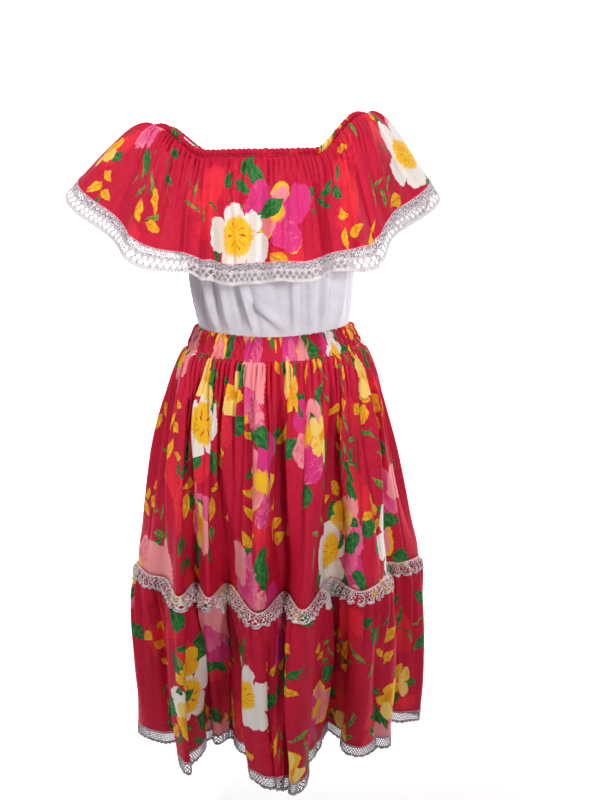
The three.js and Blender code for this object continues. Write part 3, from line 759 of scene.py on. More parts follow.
RUFFLE_BACK_FOLDS = [
    (102, 100, 0.05, 1.05, -0.0075, 2.7), (113, 110, 0.06, 1.15, 0.0100, 2.8),
    (124, 120, 0.04, 0.95, -0.0090, 2.4), (133, 131, 0.09, 1.30, 0.0115, 2.3),
    (141, 140, 0.04, 1.00, -0.0090, 2.0), (149, 150, 0.07, 1.15, 0.0100, 2.1),
    (156, 157, 0.05, 0.85, -0.0080, 1.8), (163, 163, 0.10, 1.30, 0.0120, 2.0),
    (171, 170, 0.04, 1.05, -0.0090, 1.8), (178, 179, 0.06, 1.10, 0.0090, 2.0),
    (186, 185, 0.05, 0.95, -0.0080, 1.8), (193, 194, 0.09, 1.20, 0.0105, 2.0),
    (202, 203, 0.05, 1.00, -0.0090, 1.9), (211, 212, 0.07, 1.20, 0.0105, 2.3),
    (221, 223, 0.04, 1.05, -0.0090, 2.1), (231, 234, 0.09, 1.30, 0.0120, 2.4),
    (243, 247, 0.05, 1.00, -0.0090, 2.4), (256, 259, 0.06, 1.10, 0.0080, 2.8),
]


def closed_curve(points, place, power):
    """Smooth closed curve; place counts its points. power is 0 for an even one, 0.5 for a calm one."""
    count = len(points)
    i = np.floor(place).astype(int)
    t = (place - i)[..., None]
    p0, p1, p2, p3 = (points[(i + k) % count] for k in (-1, 0, 1, 2))
    d0 = np.linalg.norm(p1 - p0, axis=-1)[..., None] ** power
    d1 = np.linalg.norm(p2 - p1, axis=-1)[..., None] ** power
    d2 = np.linalg.norm(p3 - p2, axis=-1)[..., None] ** power
    start = ((p1 - p0) / d0 - (p2 - p0) / (d0 + d1) + (p2 - p1) / d1) * d1
    end = ((p2 - p1) / d1 - (p3 - p1) / (d1 + d2) + (p3 - p2) / d2) * d1
    a = 2 * p1 - 2 * p2 + start + end
    b = -3 * p1 + 3 * p2 - 2 * start - end
    return a * t**3 + b * t**2 + start * t + p1


# Where the lower edge is caught up or hangs down: degrees, height, half width.
RUFFLE_EDGE_WAVES = [
    (-58, 0.004, 7.0), (-31, 0.011, 10.0), (-12, -0.005, 5.0), (8, 0.003, 6.0), (33, 0.009, 9.0),
    (47, -0.005, 4.0), (64, 0.003, 6.0), (120, 0.005, 8.0), (146, -0.004, 6.0), (168, 0.005, 7.0),
    (190, -0.004, 6.0), (214, 0.006, 8.0), (240, -0.004, 6.0),
]
ruffle_edge_points = np.array([row[1:] for row in RUFFLE_EDGE])
ruffle_edge_angles = np.array([row[0] for row in RUFFLE_EDGE] + [360.0])


def ruffle_base(angle, reach):
    """Middle of the ruffle's cloth. reach is 0 at the casing and 1 at the edge of its lace."""
    top = neck_point(angle, RUFFLE_SET_OUT)
    place = np.interp(np.degrees(angle) % 360, ruffle_edge_angles, np.arange(len(ruffle_edge_angles)))
    edge = closed_curve(ruffle_edge_points, place, 0.5)
    outward = np.stack([edge[..., 0] - NECK_MIDDLE, edge[..., 1]], -1)
    outward /= np.linalg.norm(outward, axis=-1)[..., None]
    side = np.abs(np.sin(angle)) ** 3
    reach = np.maximum(reach, 0)
    arch = np.sin(np.pi * np.sqrt(np.minimum(reach, 1)))
    phase = WAVE_COUNT * angle + 0.8 * np.sin(3 * angle)
    push = WAVE_HEIGHT * reach**WAVE_GROWTH * np.cos(phase) + RUFFLE_CROWN_OUT * arch
    point = top + (edge - top) * reach[..., None]
    point[..., :2] += outward * push[..., None]
    point[..., 2] += RUFFLE_CROWN * side * arch
    for at, height, width in RUFFLE_EDGE_WAVES:
        away = (np.degrees(angle) - at + 180) % 360 - 180
        point[..., 2] += height * reach**2.5 * np.exp(-((away / width) ** 2))
    return point


# Small gathers under the casing, 60 on each piece.
front_knots, back_knots = (np.pi * uneven_knots(RUFFLE_GATHERS, seed, 0.4) for seed in (52, 53))
ruffle_knots = np.concatenate([front_knots, np.pi + back_knots[1:]])


def ruffle_lift(angle, reach):
    """How far the folds and the small gathers, which sway a little on their way down, stand out."""
    lift = fold_field(np.degrees(angle), reach, RUFFLE_FRONT_FOLDS + RUFFLE_BACK_FOLDS, 0.5, 360.0)
    lift = lift * smooth_step(reach, 0.02, 0.2)
    place = (angle + np.pi / 2 + 0.010 * np.sin(8 * reach + 5 * angle)) % (2 * np.pi)
    small = gather_field(place, reach, ruffle_knots, 54, RUFFLE_GATHER_REACH, RUFFLE_GATHER_HEIGHT)
    return lift + small * smooth_step(reach, 0.0, 0.05)


def ruffle_outward(angle, reach):
    return -facing_out(ruffle_base, angle, reach, 1e-3, 5e-3)


def ruffle_at(angle, reach, above=0.0):
    """Middle of the ruffle's cloth with all its folds, or a point that far above it."""
    outward = ruffle_outward(angle, np.clip(reach, 0.01, 0.99))
    return ruffle_base(angle, reach) + outward * (ruffle_lift(angle, reach) + above)[..., None]


def closer_rows(first, change, last, close, rows):
    """Levels of a grid's rows. Those down to change, close of them, are closer together."""
    upper = np.linspace(first, change, close)[:-1]
    return np.concatenate([upper, np.linspace(change, last, rows - close + 1)])


def side_angles(first):
    """Angles that divide one side's lower edge evenly, from seam to seam, and that edge's length."""
    fine = np.linspace(first + RUFFLE_SEAM_GAP, first + math.pi - RUFFLE_SEAM_GAP, 2400)
    edge = ruffle_base(fine, np.ones_like(fine))
    steps = np.linalg.norm(np.diff(edge, axis=0), axis=1)
    run = np.concatenate([[0], np.cumsum(steps)])
    return np.interp(np.linspace(0, run[-1], 1200), run, fine), run[-1]


# How far down the cloth shows, where the lace's header lies on it, and where it is cut behind.
CLOTH_REACH = 1 - RUFFLE_LACE / RUFFLE_DEPTH
LACE_TOP = CLOTH_REACH - 0.044
CLOTH_FOOT = CLOTH_REACH - 0.028
RUFFLE_SIDES = (
    ("front", -math.pi / 2, (0.35, 2.2, 0), ruffle_knots[:RUFFLE_GATHERS + 1]),
    ("back", math.pi / 2, (4.1, 2.9, 0), ruffle_knots[RUFFLE_GATHERS:]),
)
for side, first, shift, own_knots in RUFFLE_SIDES:
    even, edge_length = side_angles(first)
    columns = np.clip(columns_between(own_knots, 5) - np.pi / 2, even[0], even[-1])
    reaches = closer_rows(0, 0.3, CLOTH_FOOT, RUFFLE_TOP_ROWS, RUFFLE_ROWS)
    across, down = np.meshgrid(columns, reaches)
    flat_u = np.interp(across, even, np.linspace(0, edge_length * RUFFLE_FLAT_STRETCH, len(even)))
    cloth_uv = np.stack([flat_u, -down * RUFFLE_DEPTH], -1)
    piece = sewn_mesh(
        f"blouse_ruffle_{side}", ruffle_at(across, down), grid_faces(RUFFLE_ROWS, len(columns)), cloth_uv,
        printed_cotton(f"RufflePrint_{side}", shift),
    )
    give_thickness(piece, COTTON_THICKNESS)
    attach(piece, "root")
    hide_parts(f"ruffle_{side}")

# Ruffle lace
# Off-white cotton lace sewn under the ruffle's edge: a firm header, fine net, two staggered rows of
# open diamonds and small scallops. It is one strip for the front and one for the back.
RUFFLE_LACE_CELLS = 84
LACE_THICKNESS = 0.0006


def diamond_tile(faces, centre_x, centre_y, half_x, half_y, opening, cells):
    """Diamond of lace with a diamond hole. A half one at a strip's end is left whole."""
    corners = [
        (centre_x, centre_y - half_y), (centre_x - half_x, centre_y),
        (centre_x, centre_y + half_y), (centre_x + half_x, centre_y),
    ]
    if centre_x - half_x < -1e-6:
        faces.append([corners[0], corners[2], corners[3]])
        return
    if centre_x + half_x > cells + 1e-6:
        faces.append(corners[:3])
        return
    hole = [(centre_x + (x - centre_x) * opening, centre_y + (y - centre_y) * opening) for x, y in corners]
    for k in range(4):
        after = (k + 1) % 4
        faces.append([corners[k], corners[after], hole[after], hole[k]])


def diamond_rows(faces, cells, across, rows, top, bottom, opening):
    """Staggered rows of open diamonds between two levels, across of them to a cell."""
    half_y = (bottom - top) / (rows + 1)
    half_x = 0.5 / across
    total = cells * across
    for row in range(rows):
        offset = 0.5 if row % 2 == 0 else 0.0
        centre_y = top + (row + 1) * half_y
        for k in range(total + (row % 2)):
            diamond_tile(faces, (k + offset) / across, centre_y, half_x, half_y, opening, cells)
    # Triangles that fill the notches along the top and the bottom.
    foot_offset = 0.5 if rows % 2 else 0.0
    for k in range(total + 1):
        for level, step, offset in ((top, half_y, 0.5), (bottom, -half_y, foot_offset)):
            if offset == 0.0 and k == total:
                continue
            centre = k / across if offset else (k + 0.5) / across
            left, right = max(centre - half_x, 0), min(centre + half_x, cells)
            corners = [(left, level), (centre, level + step), (right, level)]
            faces.append(corners if step > 0 else corners[::-1])


def lace_band(faces, cells, steps, top, bottom_at):
    """Firm band from a level down to an edge that is given by how far across a cell it is."""
    for k in range(cells * steps):
        x0 = k / steps
        x1 = (k + 1) / steps
        faces.append([(x0, top), (x0, bottom_at(x0)), (x1, bottom_at(x1)), (x1, top)])


def joined_along_levels(faces):
    """Faces that also have the corners their neighbours have along a shared level edge."""
    faces = [[(round(x, 5), round(y, 5)) for x, y in face] for face in faces]
    levels = {}
    for face in faces:
        for x, y in face:
            levels.setdefault(y, set()).add(x)
    levels = {y: np.array(sorted(row)) for y, row in levels.items()}
    joined = []
    for face in faces:
        whole = []
        for (x0, y0), (x1, y1) in zip(face, face[1:] + face[:1]):
            whole.append((x0, y0))
            if y0 == y1:
                row = levels[y0]
                between = row[(row > min(x0, x1)) & (row < max(x0, x1))]
                whole.extend((x, y0) for x in (between if x1 > x0 else between[::-1]))
        joined.append(whole)
    return joined


def lace_piece(name, faces, place_at, cell_width, depth, material):
    """Lace from flat faces, laid on a surface. place_at(across in cells, down from 0 to 1)."""
    faces = joined_along_levels(faces)
    corners = np.array([corner for face in faces for corner in face])
    kept, index = np.unique(np.round(corners, 5), axis=0, return_inverse=True)
    starts = np.cumsum([len(face) for face in faces])[:-1]
    wound = np.split(index.reshape(-1), starts)
    cloth_uv = np.stack([kept[:, 0] * cell_width, -kept[:, 1] * depth], -1)
    piece = sewn_mesh(name, place_at(kept[:, 0], kept[:, 1]), wound, cloth_uv, material)
    give_thickness(piece, LACE_THICKNESS)
    return piece


def lace_material(name, thread, shadow, header, header_depth, depth, foot, net=None):
    """Cotton lace: matt thread with a coloured header and foot. net is how far down fine net
    reaches, and the shade between its threads."""
    material, shader, uv = cloth_material(name, 0.8, 0.0)
    weave_bump(shader, uv, 6200.0, 0.6, 0.0012)
    down = parts_of(uv)[1] * (-1.0 / depth)
    cloud = noise(uv, 400.0, Detail=2.0)
    body = mix_colour(step_up(cloud, 0.42, 0.56), shadow, thread)
    body = mix_colour(step_up(down, 0.80, 0.95), body, foot)
    if net:
        net_foot, net_shadow = net
        fine_net = mix_colour(step_up(cloud, 0.44, 0.55), net_shadow, thread)
        body = mix_colour(step_up(down, net_foot + 0.01, net_foot - 0.01), body, fine_net)
    plug(shader, "Base Color", mix_colour(step_up(down, header_depth, header_depth * 0.5), body, header))
    return material


# Levels of the ruffle lace, from 0 at its header's top to 1 at its scallops.
NET_TOP = 0.04
NET_FOOT = 0.36
DIAMOND_TOP = 0.385
DIAMOND_FOOT = 0.89
ruffle_lace_faces = []
lace_band(ruffle_lace_faces, RUFFLE_LACE_CELLS, 4, 0.0, lambda x: NET_TOP)
diamond_rows(ruffle_lace_faces, RUFFLE_LACE_CELLS, 3, 3, NET_TOP, NET_FOOT, 0.56)
lace_band(ruffle_lace_faces, RUFFLE_LACE_CELLS, 2, NET_FOOT, lambda x: DIAMOND_TOP)
diamond_rows(ruffle_lace_faces, RUFFLE_LACE_CELLS, 1, 2, DIAMOND_TOP, DIAMOND_FOOT, 0.72)
lace_band(
    ruffle_lace_faces, RUFFLE_LACE_CELLS, 8, DIAMOND_FOOT,
    lambda x: 0.93 + 0.07 * abs(math.sin(2 * math.pi * x)) ** 0.7,
)
ruffle_thread = lace_material(
    "RuffleLace", (0.72, 0.66, 0.68, 1), (0.46, 0.39, 0.43, 1), (0.90, 0.42, 0.48, 1), NET_TOP, RUFFLE_LACE,
    (0.76, 0.71, 0.71, 1), (NET_FOOT, (0.20, 0.15, 0.18, 1)),
)
for side, first, _, _ in RUFFLE_SIDES:
    columns, edge_length = side_angles(first)

    def on_ruffle(across, down):
        angle = np.interp(across / RUFFLE_LACE_CELLS, np.linspace(0, 1, len(columns)), columns)
        return ruffle_at(angle, LACE_TOP + (0.998 - LACE_TOP) * down, 0.0013 * (1 - down))

    cell_width = edge_length / RUFFLE_LACE_CELLS
    piece = lace_piece(
        f"blouse_lace_{side}", ruffle_lace_faces, on_ruffle, cell_width, RUFFLE_LACE, ruffle_thread
    )
    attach(piece, "root")
    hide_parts(f"ruffle_lace_{side}")

# Skirt, upper tier
# A front and a back of printed cotton, gathered into the waistband in small irregular pleats that
# open into deep folds above the tier seam.
WAIST_HALF_WIDTH = 0.138
WAIST_HALF_DEPTH = 0.096
WAIST_DIP = 0.005
TIER_DROP = 0.430
TIER_HALF_WIDTH = 0.258
TIER_HALF_DEPTH = 0.252
TIER_FRONT_DIP = 0.016
TIER_CREST_DIP = 0.008
HEM_DROP = 0.782
HEM_FRONT_DIP = 0.006
HEM_CREST_DIP = 0.004
WAIST_GATHERS = 50
UPPER_CREASES = 26
UPPER_ROWS = 72
UPPER_FULLNESS = 1.35
SKIRT_SEAM_GAP = 0.0004
NEARBY = 0.002

# Distance below the waist, spread from the waist to the tier seam, share of the folds, and how far
# the gathered lower tier stands out.
SKIRT_SECTIONS = [
    (0.0, 0.0, 0.0, 0.0), (0.038, 0.165, 0.02, 0.0), (0.062, 0.275, 0.08, 0.0), (0.117, 0.43, 0.22, 0.0),
    (0.174, 0.566, 0.38, 0.0), (0.231, 0.689, 0.53, 0.0), (0.347, 0.885, 0.80, 0.0), (0.430, 1.0, 1.0, 0.0),
    (0.454, 1.0, 1.0, 0.006), (0.540, 1.0, 1.0, 0.006), (0.782, 1.0, 1.0, 0.004),
]

# Crests and valleys from the left side seam across the front and round the back: x and y at the
# tier seam, x and y at the hem, and how much of a crest it is. Row 15 is the right side seam.
SKIRT_FOLDS = [
    (-0.264, -0.008, -0.276, -0.014, 1.0), (-0.240, -0.074, -0.224, -0.060, 0.8),
    (-0.198, -0.116, -0.186, -0.064, 0.2), (-0.172, -0.182, -0.168, -0.172, 1.0),
    (-0.146, -0.122, -0.144, -0.072, 0.0), (-0.120, -0.178, -0.122, -0.060, 0.8),
    (-0.088, -0.120, -0.092, -0.054, 0.0), (-0.034, -0.232, -0.032, -0.208, 1.0),
    (0.012, -0.150, 0.002, -0.228, 0.1), (0.044, -0.226, 0.036, -0.222, 1.0),
    (0.092, -0.116, 0.084, -0.026, 0.0), (0.146, -0.164, 0.124, -0.108, 1.0),
    (0.194, -0.106, 0.198, -0.092, 0.6), (0.186, -0.054, 0.192, -0.014, 0.0),
    (0.234, -0.044, 0.236, 0.002, 0.6), (0.262, 0.010, 0.260, 0.026, 1.0),
    (0.190, 0.054, 0.184, 0.060, 0.0), (0.215, 0.122, 0.220, 0.126, 1.0),
    (0.140, 0.122, 0.132, 0.116, 0.0), (0.147, 0.195, 0.150, 0.200, 1.0),
    (0.080, 0.156, 0.074, 0.148, 0.0), (0.068, 0.236, 0.070, 0.240, 1.0),
    (0.016, 0.172, 0.014, 0.160, 0.0), (-0.026, 0.245, -0.024, 0.249, 1.0),
    (-0.060, 0.164, -0.056, 0.154, 0.0), (-0.121, 0.214, -0.126, 0.218, 1.0),
    (-0.119, 0.138, -0.112, 0.130, 0.0), (-0.190, 0.152, -0.196, 0.156, 1.0),
    (-0.170, 0.092, -0.162, 0.090, 0.0), (-0.232, 0.088, -0.240, 0.092, 0.8),
    (-0.214, 0.046, -0.206, 0.046, 0.2), (-0.250, 0.026, -0.258, 0.024, 0.8),
]
RIGHT_SEAM = 15
seam_points = np.array([row[0:2] for row in SKIRT_FOLDS])
hem_points = np.array([row[2:4] for row in SKIRT_FOLDS])
crest_shares = np.array([row[4] for row in SKIRT_FOLDS])
FOLD_COUNT = len(SKIRT_FOLDS)

# Length of the tier seam up to each place along the folds, and the angle there at the waist.
fine_places = np.linspace(0, FOLD_COUNT, 6401)
fine_seam = closed_curve(seam_points, fine_places, 0)
seam_run = np.concatenate([[0], np.cumsum(np.linalg.norm(np.diff(fine_seam, axis=0), axis=1))])
front_run = np.interp(RIGHT_SEAM, fine_places, seam_run)
back_run = seam_run[-1] - front_run
waist_angles = np.where(
    seam_run <= front_run,
    -np.pi / 2 + np.pi * seam_run / front_run,
    np.pi / 2 + np.pi * (seam_run - front_run) / back_run,
)


def along_folds(points, run):
    """Point on the curve through crests and valleys. run is metres along the tier seam."""
    return closed_curve(points, np.interp(run % seam_run[-1], seam_run, fine_places), 0)


def oval(half_width, half_depth, angle):
    return np.stack([half_width * np.sin(angle), -half_depth * np.cos(angle)], -1)


def skirt_base(run, drop):
    """Middle of the skirt's cloth without its small folds. run is metres along the tier seam."""
    run = run % seam_run[-1]
    drop = np.asarray(drop, float)
    place = np.interp(run, seam_run, fine_places)
    angle = np.interp(run, seam_run, waist_angles)
    seam = along_folds(seam_points, run)
    hem = along_folds(hem_points, run)
    spread, fold, puff = (through_rows(SKIRT_SECTIONS, column, drop)[..., None] for column in (1, 2, 3))
    tier = oval(TIER_HALF_WIDTH, TIER_HALF_DEPTH, angle)
    waist = oval(WAIST_HALF_WIDTH, WAIST_HALF_DEPTH, angle)
    upper = waist + (tier - waist) * spread + (seam - tier) * fold
    to_hem = np.clip((drop - TIER_DROP) / (HEM_DROP - TIER_DROP), 0, 1.1)[..., None]
    tangent = along_folds(seam_points, run + NEARBY) - along_folds(seam_points, run - NEARBY)
    tangent /= np.linalg.norm(tangent, axis=-1)[..., None]
    facing = np.stack([tangent[..., 1], -tangent[..., 0]], -1)
    lower = seam + (hem - seam) * to_hem + facing * puff
    flat = np.where((drop <= TIER_DROP)[..., None], upper, lower)
    row = np.floor(place).astype(int) % FOLD_COUNT
    rest = (1 - np.cos(np.pi * (place % 1.0))) / 2
    share = crest_shares[row] + (crest_shares[(row + 1) % FOLD_COUNT] - crest_shares[row]) * rest
    front = np.maximum(0, np.cos(angle)) ** 2
    sag_waist = WAIST_DIP * np.cos(2 * angle)
    sag_tier = TIER_FRONT_DIP * front + TIER_CREST_DIP * share
    sag_hem = HEM_FRONT_DIP * front + HEM_CREST_DIP * share
    above = sag_waist + (sag_tier - sag_waist) * np.clip(drop / TIER_DROP, 0, 1)
    sag = above + (sag_hem - sag_tier) * to_hem[..., 0]
    return np.concatenate([flat, (-drop - sag)[..., None]], -1)


# Long soft folds of the upper tier: place along the folds at top and foot, drop at top and foot,
# height, and half width in metres of cloth.
UPPER_FOLDS = [
    (0.4, 0.5, 0.05, 0.40, 0.0098, 0.018), (1.3, 1.4, 0.05, 0.34, -0.0110, 0.016),
    (2.2, 2.3, 0.04, 0.42, 0.0130, 0.017), (3.4, 3.5, 0.05, 0.38, -0.0124, 0.015),
    (4.4, 4.5, 0.04, 0.30, 0.0118, 0.014), (5.2, 5.4, 0.06, 0.42, -0.0110, 0.016),
    (6.0, 6.3, 0.04, 0.36, 0.0143, 0.016), (6.6, 6.7, 0.05, 0.43, -0.0130, 0.013),
    (7.15, 7.25, 0.04, 0.33, 0.0124, 0.013), (7.7, 7.8, 0.05, 0.42, -0.0136, 0.014),
    (8.3, 8.4, 0.04, 0.38, 0.0118, 0.013), (8.8, 8.75, 0.06, 0.43, -0.0130, 0.014),
    (9.3, 9.35, 0.04, 0.35, 0.0130, 0.014), (9.9, 9.8, 0.05, 0.41, -0.0124, 0.013),
    (10.5, 10.4, 0.04, 0.30, 0.0124, 0.015), (11.2, 11.3, 0.05, 0.42, -0.0136, 0.016),
    (11.8, 11.9, 0.04, 0.36, 0.0118, 0.014), (12.6, 12.5, 0.05, 0.40, -0.0118, 0.015),
    (13.5, 13.5, 0.04, 0.33, 0.0118, 0.016), (14.4, 14.5, 0.05, 0.41, -0.0110, 0.018),
    (15.6, 15.5, 0.05, 0.36, 0.0118, 0.017), (16.6, 16.5, 0.04, 0.42, -0.0124, 0.016),
    (17.5, 17.5, 0.05, 0.34, 0.0124, 0.015), (18.5, 18.6, 0.04, 0.41, -0.0130, 0.016),
    (19.4, 19.4, 0.05, 0.38, 0.0130, 0.014), (20.4, 20.5, 0.04, 0.33, -0.0118, 0.016),
    (21.4, 21.5, 0.05, 0.42, 0.0130, 0.015), (22.4, 22.4, 0.04, 0.36, -0.0130, 0.014),
    (23.5, 23.5, 0.05, 0.41, 0.0124, 0.016), (24.5, 24.4, 0.04, 0.33, -0.0124, 0.015),
    (25.4, 25.5, 0.05, 0.42, 0.0130, 0.016), (26.5, 26.4, 0.04, 0.37, -0.0118, 0.014),
    (27.4, 27.5, 0.05, 0.40, 0.0124, 0.016), (28.5, 28.5, 0.04, 0.34, -0.0118, 0.016),
    (29.6, 29.5, 0.05, 0.41, 0.0110, 0.017), (30.9, 31.0, 0.04, 0.36, -0.0104, 0.016),
]


def along_seam(rows):
    """The same rows with places along the folds turned into metres along the tier seam."""
    turned = []
    for top, foot, from_drop, to_drop, height, width in rows:
        run_top, run_foot = np.interp([top, foot], fine_places, seam_run)
        turned.append((run_top, run_foot, from_drop, to_drop, height, width))
    return turned


upper_folds = along_seam(UPPER_FOLDS)


def two_sides(count, first_seed):
    """Creases of the front's gathers and of the back's, in metres along the tier seam."""
    front = front_run * uneven_knots(count, first_seed, 0.42)
    back = front_run + back_run * uneven_knots(count, first_seed + 1, 0.42)
    return np.concatenate([front, back[1:]])


waist_knots = two_sides(WAIST_GATHERS, 63)
upper_crease_knots = two_sides(UPPER_CREASES, 75)

# How many times the folds stand out as their tables say, and how many more the recesses sink in.
FOLD_STRENGTH = 1.3
UPPER_RECESS = 1.25

# Rows of gathers: how far they sway, how often down and along the cloth, the drop they start at,
# their seed, and their least and greatest reach and height.
WAIST_GATHER_ROW = ((0.004, 14, 11), 0.040, 67, (0.050, 0.38), (0.0085, 0.0155))
UPPER_CREASE_ROW = ((0.009, 9, 7), 0.05, 79, (0.22, 0.60), (0.005, 0.014))


def deeper(lift, times):
    """The same folds with their recesses deeper than their crests are high."""
    return np.where(lift < 0, times * lift, lift)


def gathers_on_skirt(run, drop, knots, row):
    """Height of one row of gathers, which sway a little on their way down."""
    (sway, per_drop, per_run), start, seed, reaches, heights = row
    place = (run + sway * np.sin(per_drop * drop + per_run * run)) % seam_run[-1]
    return gather_field(place, drop - start, knots, seed, reaches, heights)


def upper_lift(run, drop):
    """How far the upper tier's folds, long creases and small gathers stand out."""
    small = gathers_on_skirt(run, drop, waist_knots, WAIST_GATHER_ROW)
    long = gathers_on_skirt(run, drop, upper_crease_knots, UPPER_CREASE_ROW)
    lift = FOLD_STRENGTH * fold_field(run, drop, upper_folds, 0.45, seam_run[-1]) + long
    lift = deeper(lift, UPPER_RECESS) * smooth_step(drop, 0.05, 0.12)
    lift = lift + small * smooth_step(drop, 0.035, 0.046)
    return lift * (1 - smooth_step(drop, 0.38, TIER_DROP) * 0.4)


def skirt_outward(run, drop):
    return -facing_out(skirt_base, run, drop, 1.5e-3, 1.5e-3)


def skirt_at(run, drop, lift_at, above=0.0):
    """Middle of the skirt's cloth with all its folds, or a point that far above it."""
    inside_tier = np.where(drop <= TIER_DROP, np.minimum(drop, 0.428), np.maximum(drop, 0.433))
    outward = skirt_outward(run, inside_tier)
    return skirt_base(run, drop) + outward * (lift_at(run, drop) + above)[..., None]


def side_columns(knots, gathers, side, steps, start, end):
    """Columns of one side's grid, with steps to each of its gathers, clear of the side seams."""
    own = knots[:gathers + 1] if side == "front" else knots[gathers:]
    return np.clip(columns_between(own, steps), start + SKIRT_SEAM_GAP, end - SKIRT_SEAM_GAP)


def tier_panel(name, runs, drops, lift_at, fullness, cotton):
    """One panel of a tier, a thin wall along all its folds."""
    across, down = np.meshgrid(runs, drops)
    cloth_uv = np.stack([across * fullness, -down], -1)
    faces = grid_faces(len(drops), len(runs))
    piece = sewn_mesh(name, skirt_at(across, down, lift_at), faces, cloth_uv, cotton)
    give_thickness(piece, COTTON_THICKNESS)
    return piece


SIDES = (("front", 0.0, front_run), ("back", front_run, seam_run[-1]))
for side, start, end in SIDES:
    runs = side_columns(waist_knots, WAIST_GATHERS, side, 6, start, end)
    drops = closer_rows(0.034, 0.12, TIER_DROP, 27, UPPER_ROWS)
    cotton = printed_cotton(f"UpperTierPrint_{side}", (0.9, 5.3, 0))
    piece = tier_panel(f"upper_tier_{side}", runs, drops, upper_lift, UPPER_FULLNESS, cotton)
    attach(piece, "root")
    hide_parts(f"skirt_upper_{side}")

# Skirt, lower tier
# Wider pieces of the same cotton, gathered on to the upper tier. They hang in deep folds to a lace
# hem, and the small gathers under the seam lace run out within a hand's width.
LOWER_ROWS = 60
LOWER_FULLNESS = 1.55
CLOTH_DROP = 0.7565
TIER_GATHERS = 80
LOWER_CREASES = 30
LOWER_RECESS = 1.5
TIER_GATHER_ROW = ((0.003, 17, 13), 0.436, 68, (0.045, 0.32), (0.0080, 0.0160))
LOWER_CREASE_ROW = ((0.008, 10, 8), 0.44, 80, (0.18, 0.60), (0.005, 0.013))

# Long soft folds, in the terms of the upper tier's.
LOWER_FOLDS = [
    (0.5, 0.6, 0.45, 0.80, 0.0108, 0.020), (1.5, 1.4, 0.44, 0.72, -0.0097, 0.016),
    (2.4, 2.6, 0.45, 0.86, 0.0108, 0.016), (3.3, 3.4, 0.46, 0.84, -0.0119, 0.013),
    (3.7, 3.8, 0.44, 0.70, 0.0092, 0.013), (4.6, 4.5, 0.45, 0.86, -0.0108, 0.015),
    (5.4, 5.5, 0.44, 0.78, 0.0108, 0.015), (6.4, 6.5, 0.45, 0.86, -0.0119, 0.016),
    (6.8, 6.75, 0.44, 0.84, 0.0119, 0.013), (7.3, 7.4, 0.45, 0.86, -0.0124, 0.013),
    (7.7, 7.8, 0.44, 0.74, 0.0097, 0.013), (8.2, 8.25, 0.45, 0.84, -0.0119, 0.013),
    (8.7, 8.7, 0.45, 0.80, 0.0108, 0.014), (9.4, 9.4, 0.44, 0.86, -0.0124, 0.013),
    (9.8, 9.7, 0.45, 0.76, 0.0102, 0.014), (10.6, 10.5, 0.45, 0.86, -0.0097, 0.016),
    (11.2, 11.25, 0.44, 0.82, 0.0119, 0.014), (11.6, 11.7, 0.45, 0.86, -0.0114, 0.014),
    (12.4, 12.4, 0.44, 0.76, 0.0097, 0.015), (13.5, 13.4, 0.45, 0.86, -0.0097, 0.016),
    (14.5, 14.6, 0.45, 0.82, 0.0108, 0.018), (15.5, 15.6, 0.44, 0.74, -0.0097, 0.017),
    (16.6, 16.5, 0.45, 0.86, 0.0108, 0.016), (17.4, 17.5, 0.44, 0.80, -0.0114, 0.014),
    (18.4, 18.5, 0.45, 0.86, 0.0108, 0.016), (19.3, 19.3, 0.44, 0.76, -0.0114, 0.013),
    (20.5, 20.4, 0.45, 0.86, 0.0108, 0.016), (21.4, 21.5, 0.44, 0.82, -0.0119, 0.014),
    (22.5, 22.4, 0.45, 0.78, 0.0102, 0.016), (23.4, 23.5, 0.44, 0.86, -0.0119, 0.014),
    (24.5, 24.5, 0.45, 0.82, 0.0108, 0.016), (25.4, 25.4, 0.44, 0.74, -0.0108, 0.014),
    (26.5, 26.6, 0.45, 0.86, 0.0108, 0.016), (27.4, 27.5, 0.44, 0.80, -0.0114, 0.014),
    (28.5, 28.4, 0.45, 0.86, 0.0102, 0.016), (29.4, 29.6, 0.44, 0.76, -0.0097, 0.016),
    (30.5, 30.6, 0.45, 0.84, 0.0097, 0.016), (31.5, 31.5, 0.44, 0.78, -0.0092, 0.016),
]
lower_folds = along_seam(LOWER_FOLDS)
tier_knots = two_sides(TIER_GATHERS, 65)
lower_crease_knots = two_sides(LOWER_CREASES, 77)


def lower_lift(run, drop):
    """How far the lower tier's folds, long creases and small gathers stand out."""
    small = gathers_on_skirt(run, drop, tier_knots, TIER_GATHER_ROW)
    long = gathers_on_skirt(run, drop, lower_crease_knots, LOWER_CREASE_ROW)
    lift = FOLD_STRENGTH * fold_field(run, drop, lower_folds, 0.55, seam_run[-1])
    lift = deeper(lift + long * smooth_step(drop, 0.44, 0.49), LOWER_RECESS)
    return lift + small * smooth_step(drop, 0.431, 0.446)


for side, start, end in SIDES:
    runs = side_columns(tier_knots, TIER_GATHERS, side, 4, start, end)
    drops = closer_rows(TIER_DROP + 0.0005, 0.50, CLOTH_DROP + 0.004, 24, LOWER_ROWS)
    cotton = printed_cotton(f"LowerTierPrint_{side}", (6.4, 8.8, 0))
    piece = tier_panel(f"lower_tier_{side}", runs, drops, lower_lift, LOWER_FULLNESS, cotton)
    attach(piece, "root")
    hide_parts(f"skirt_lower_{side}")
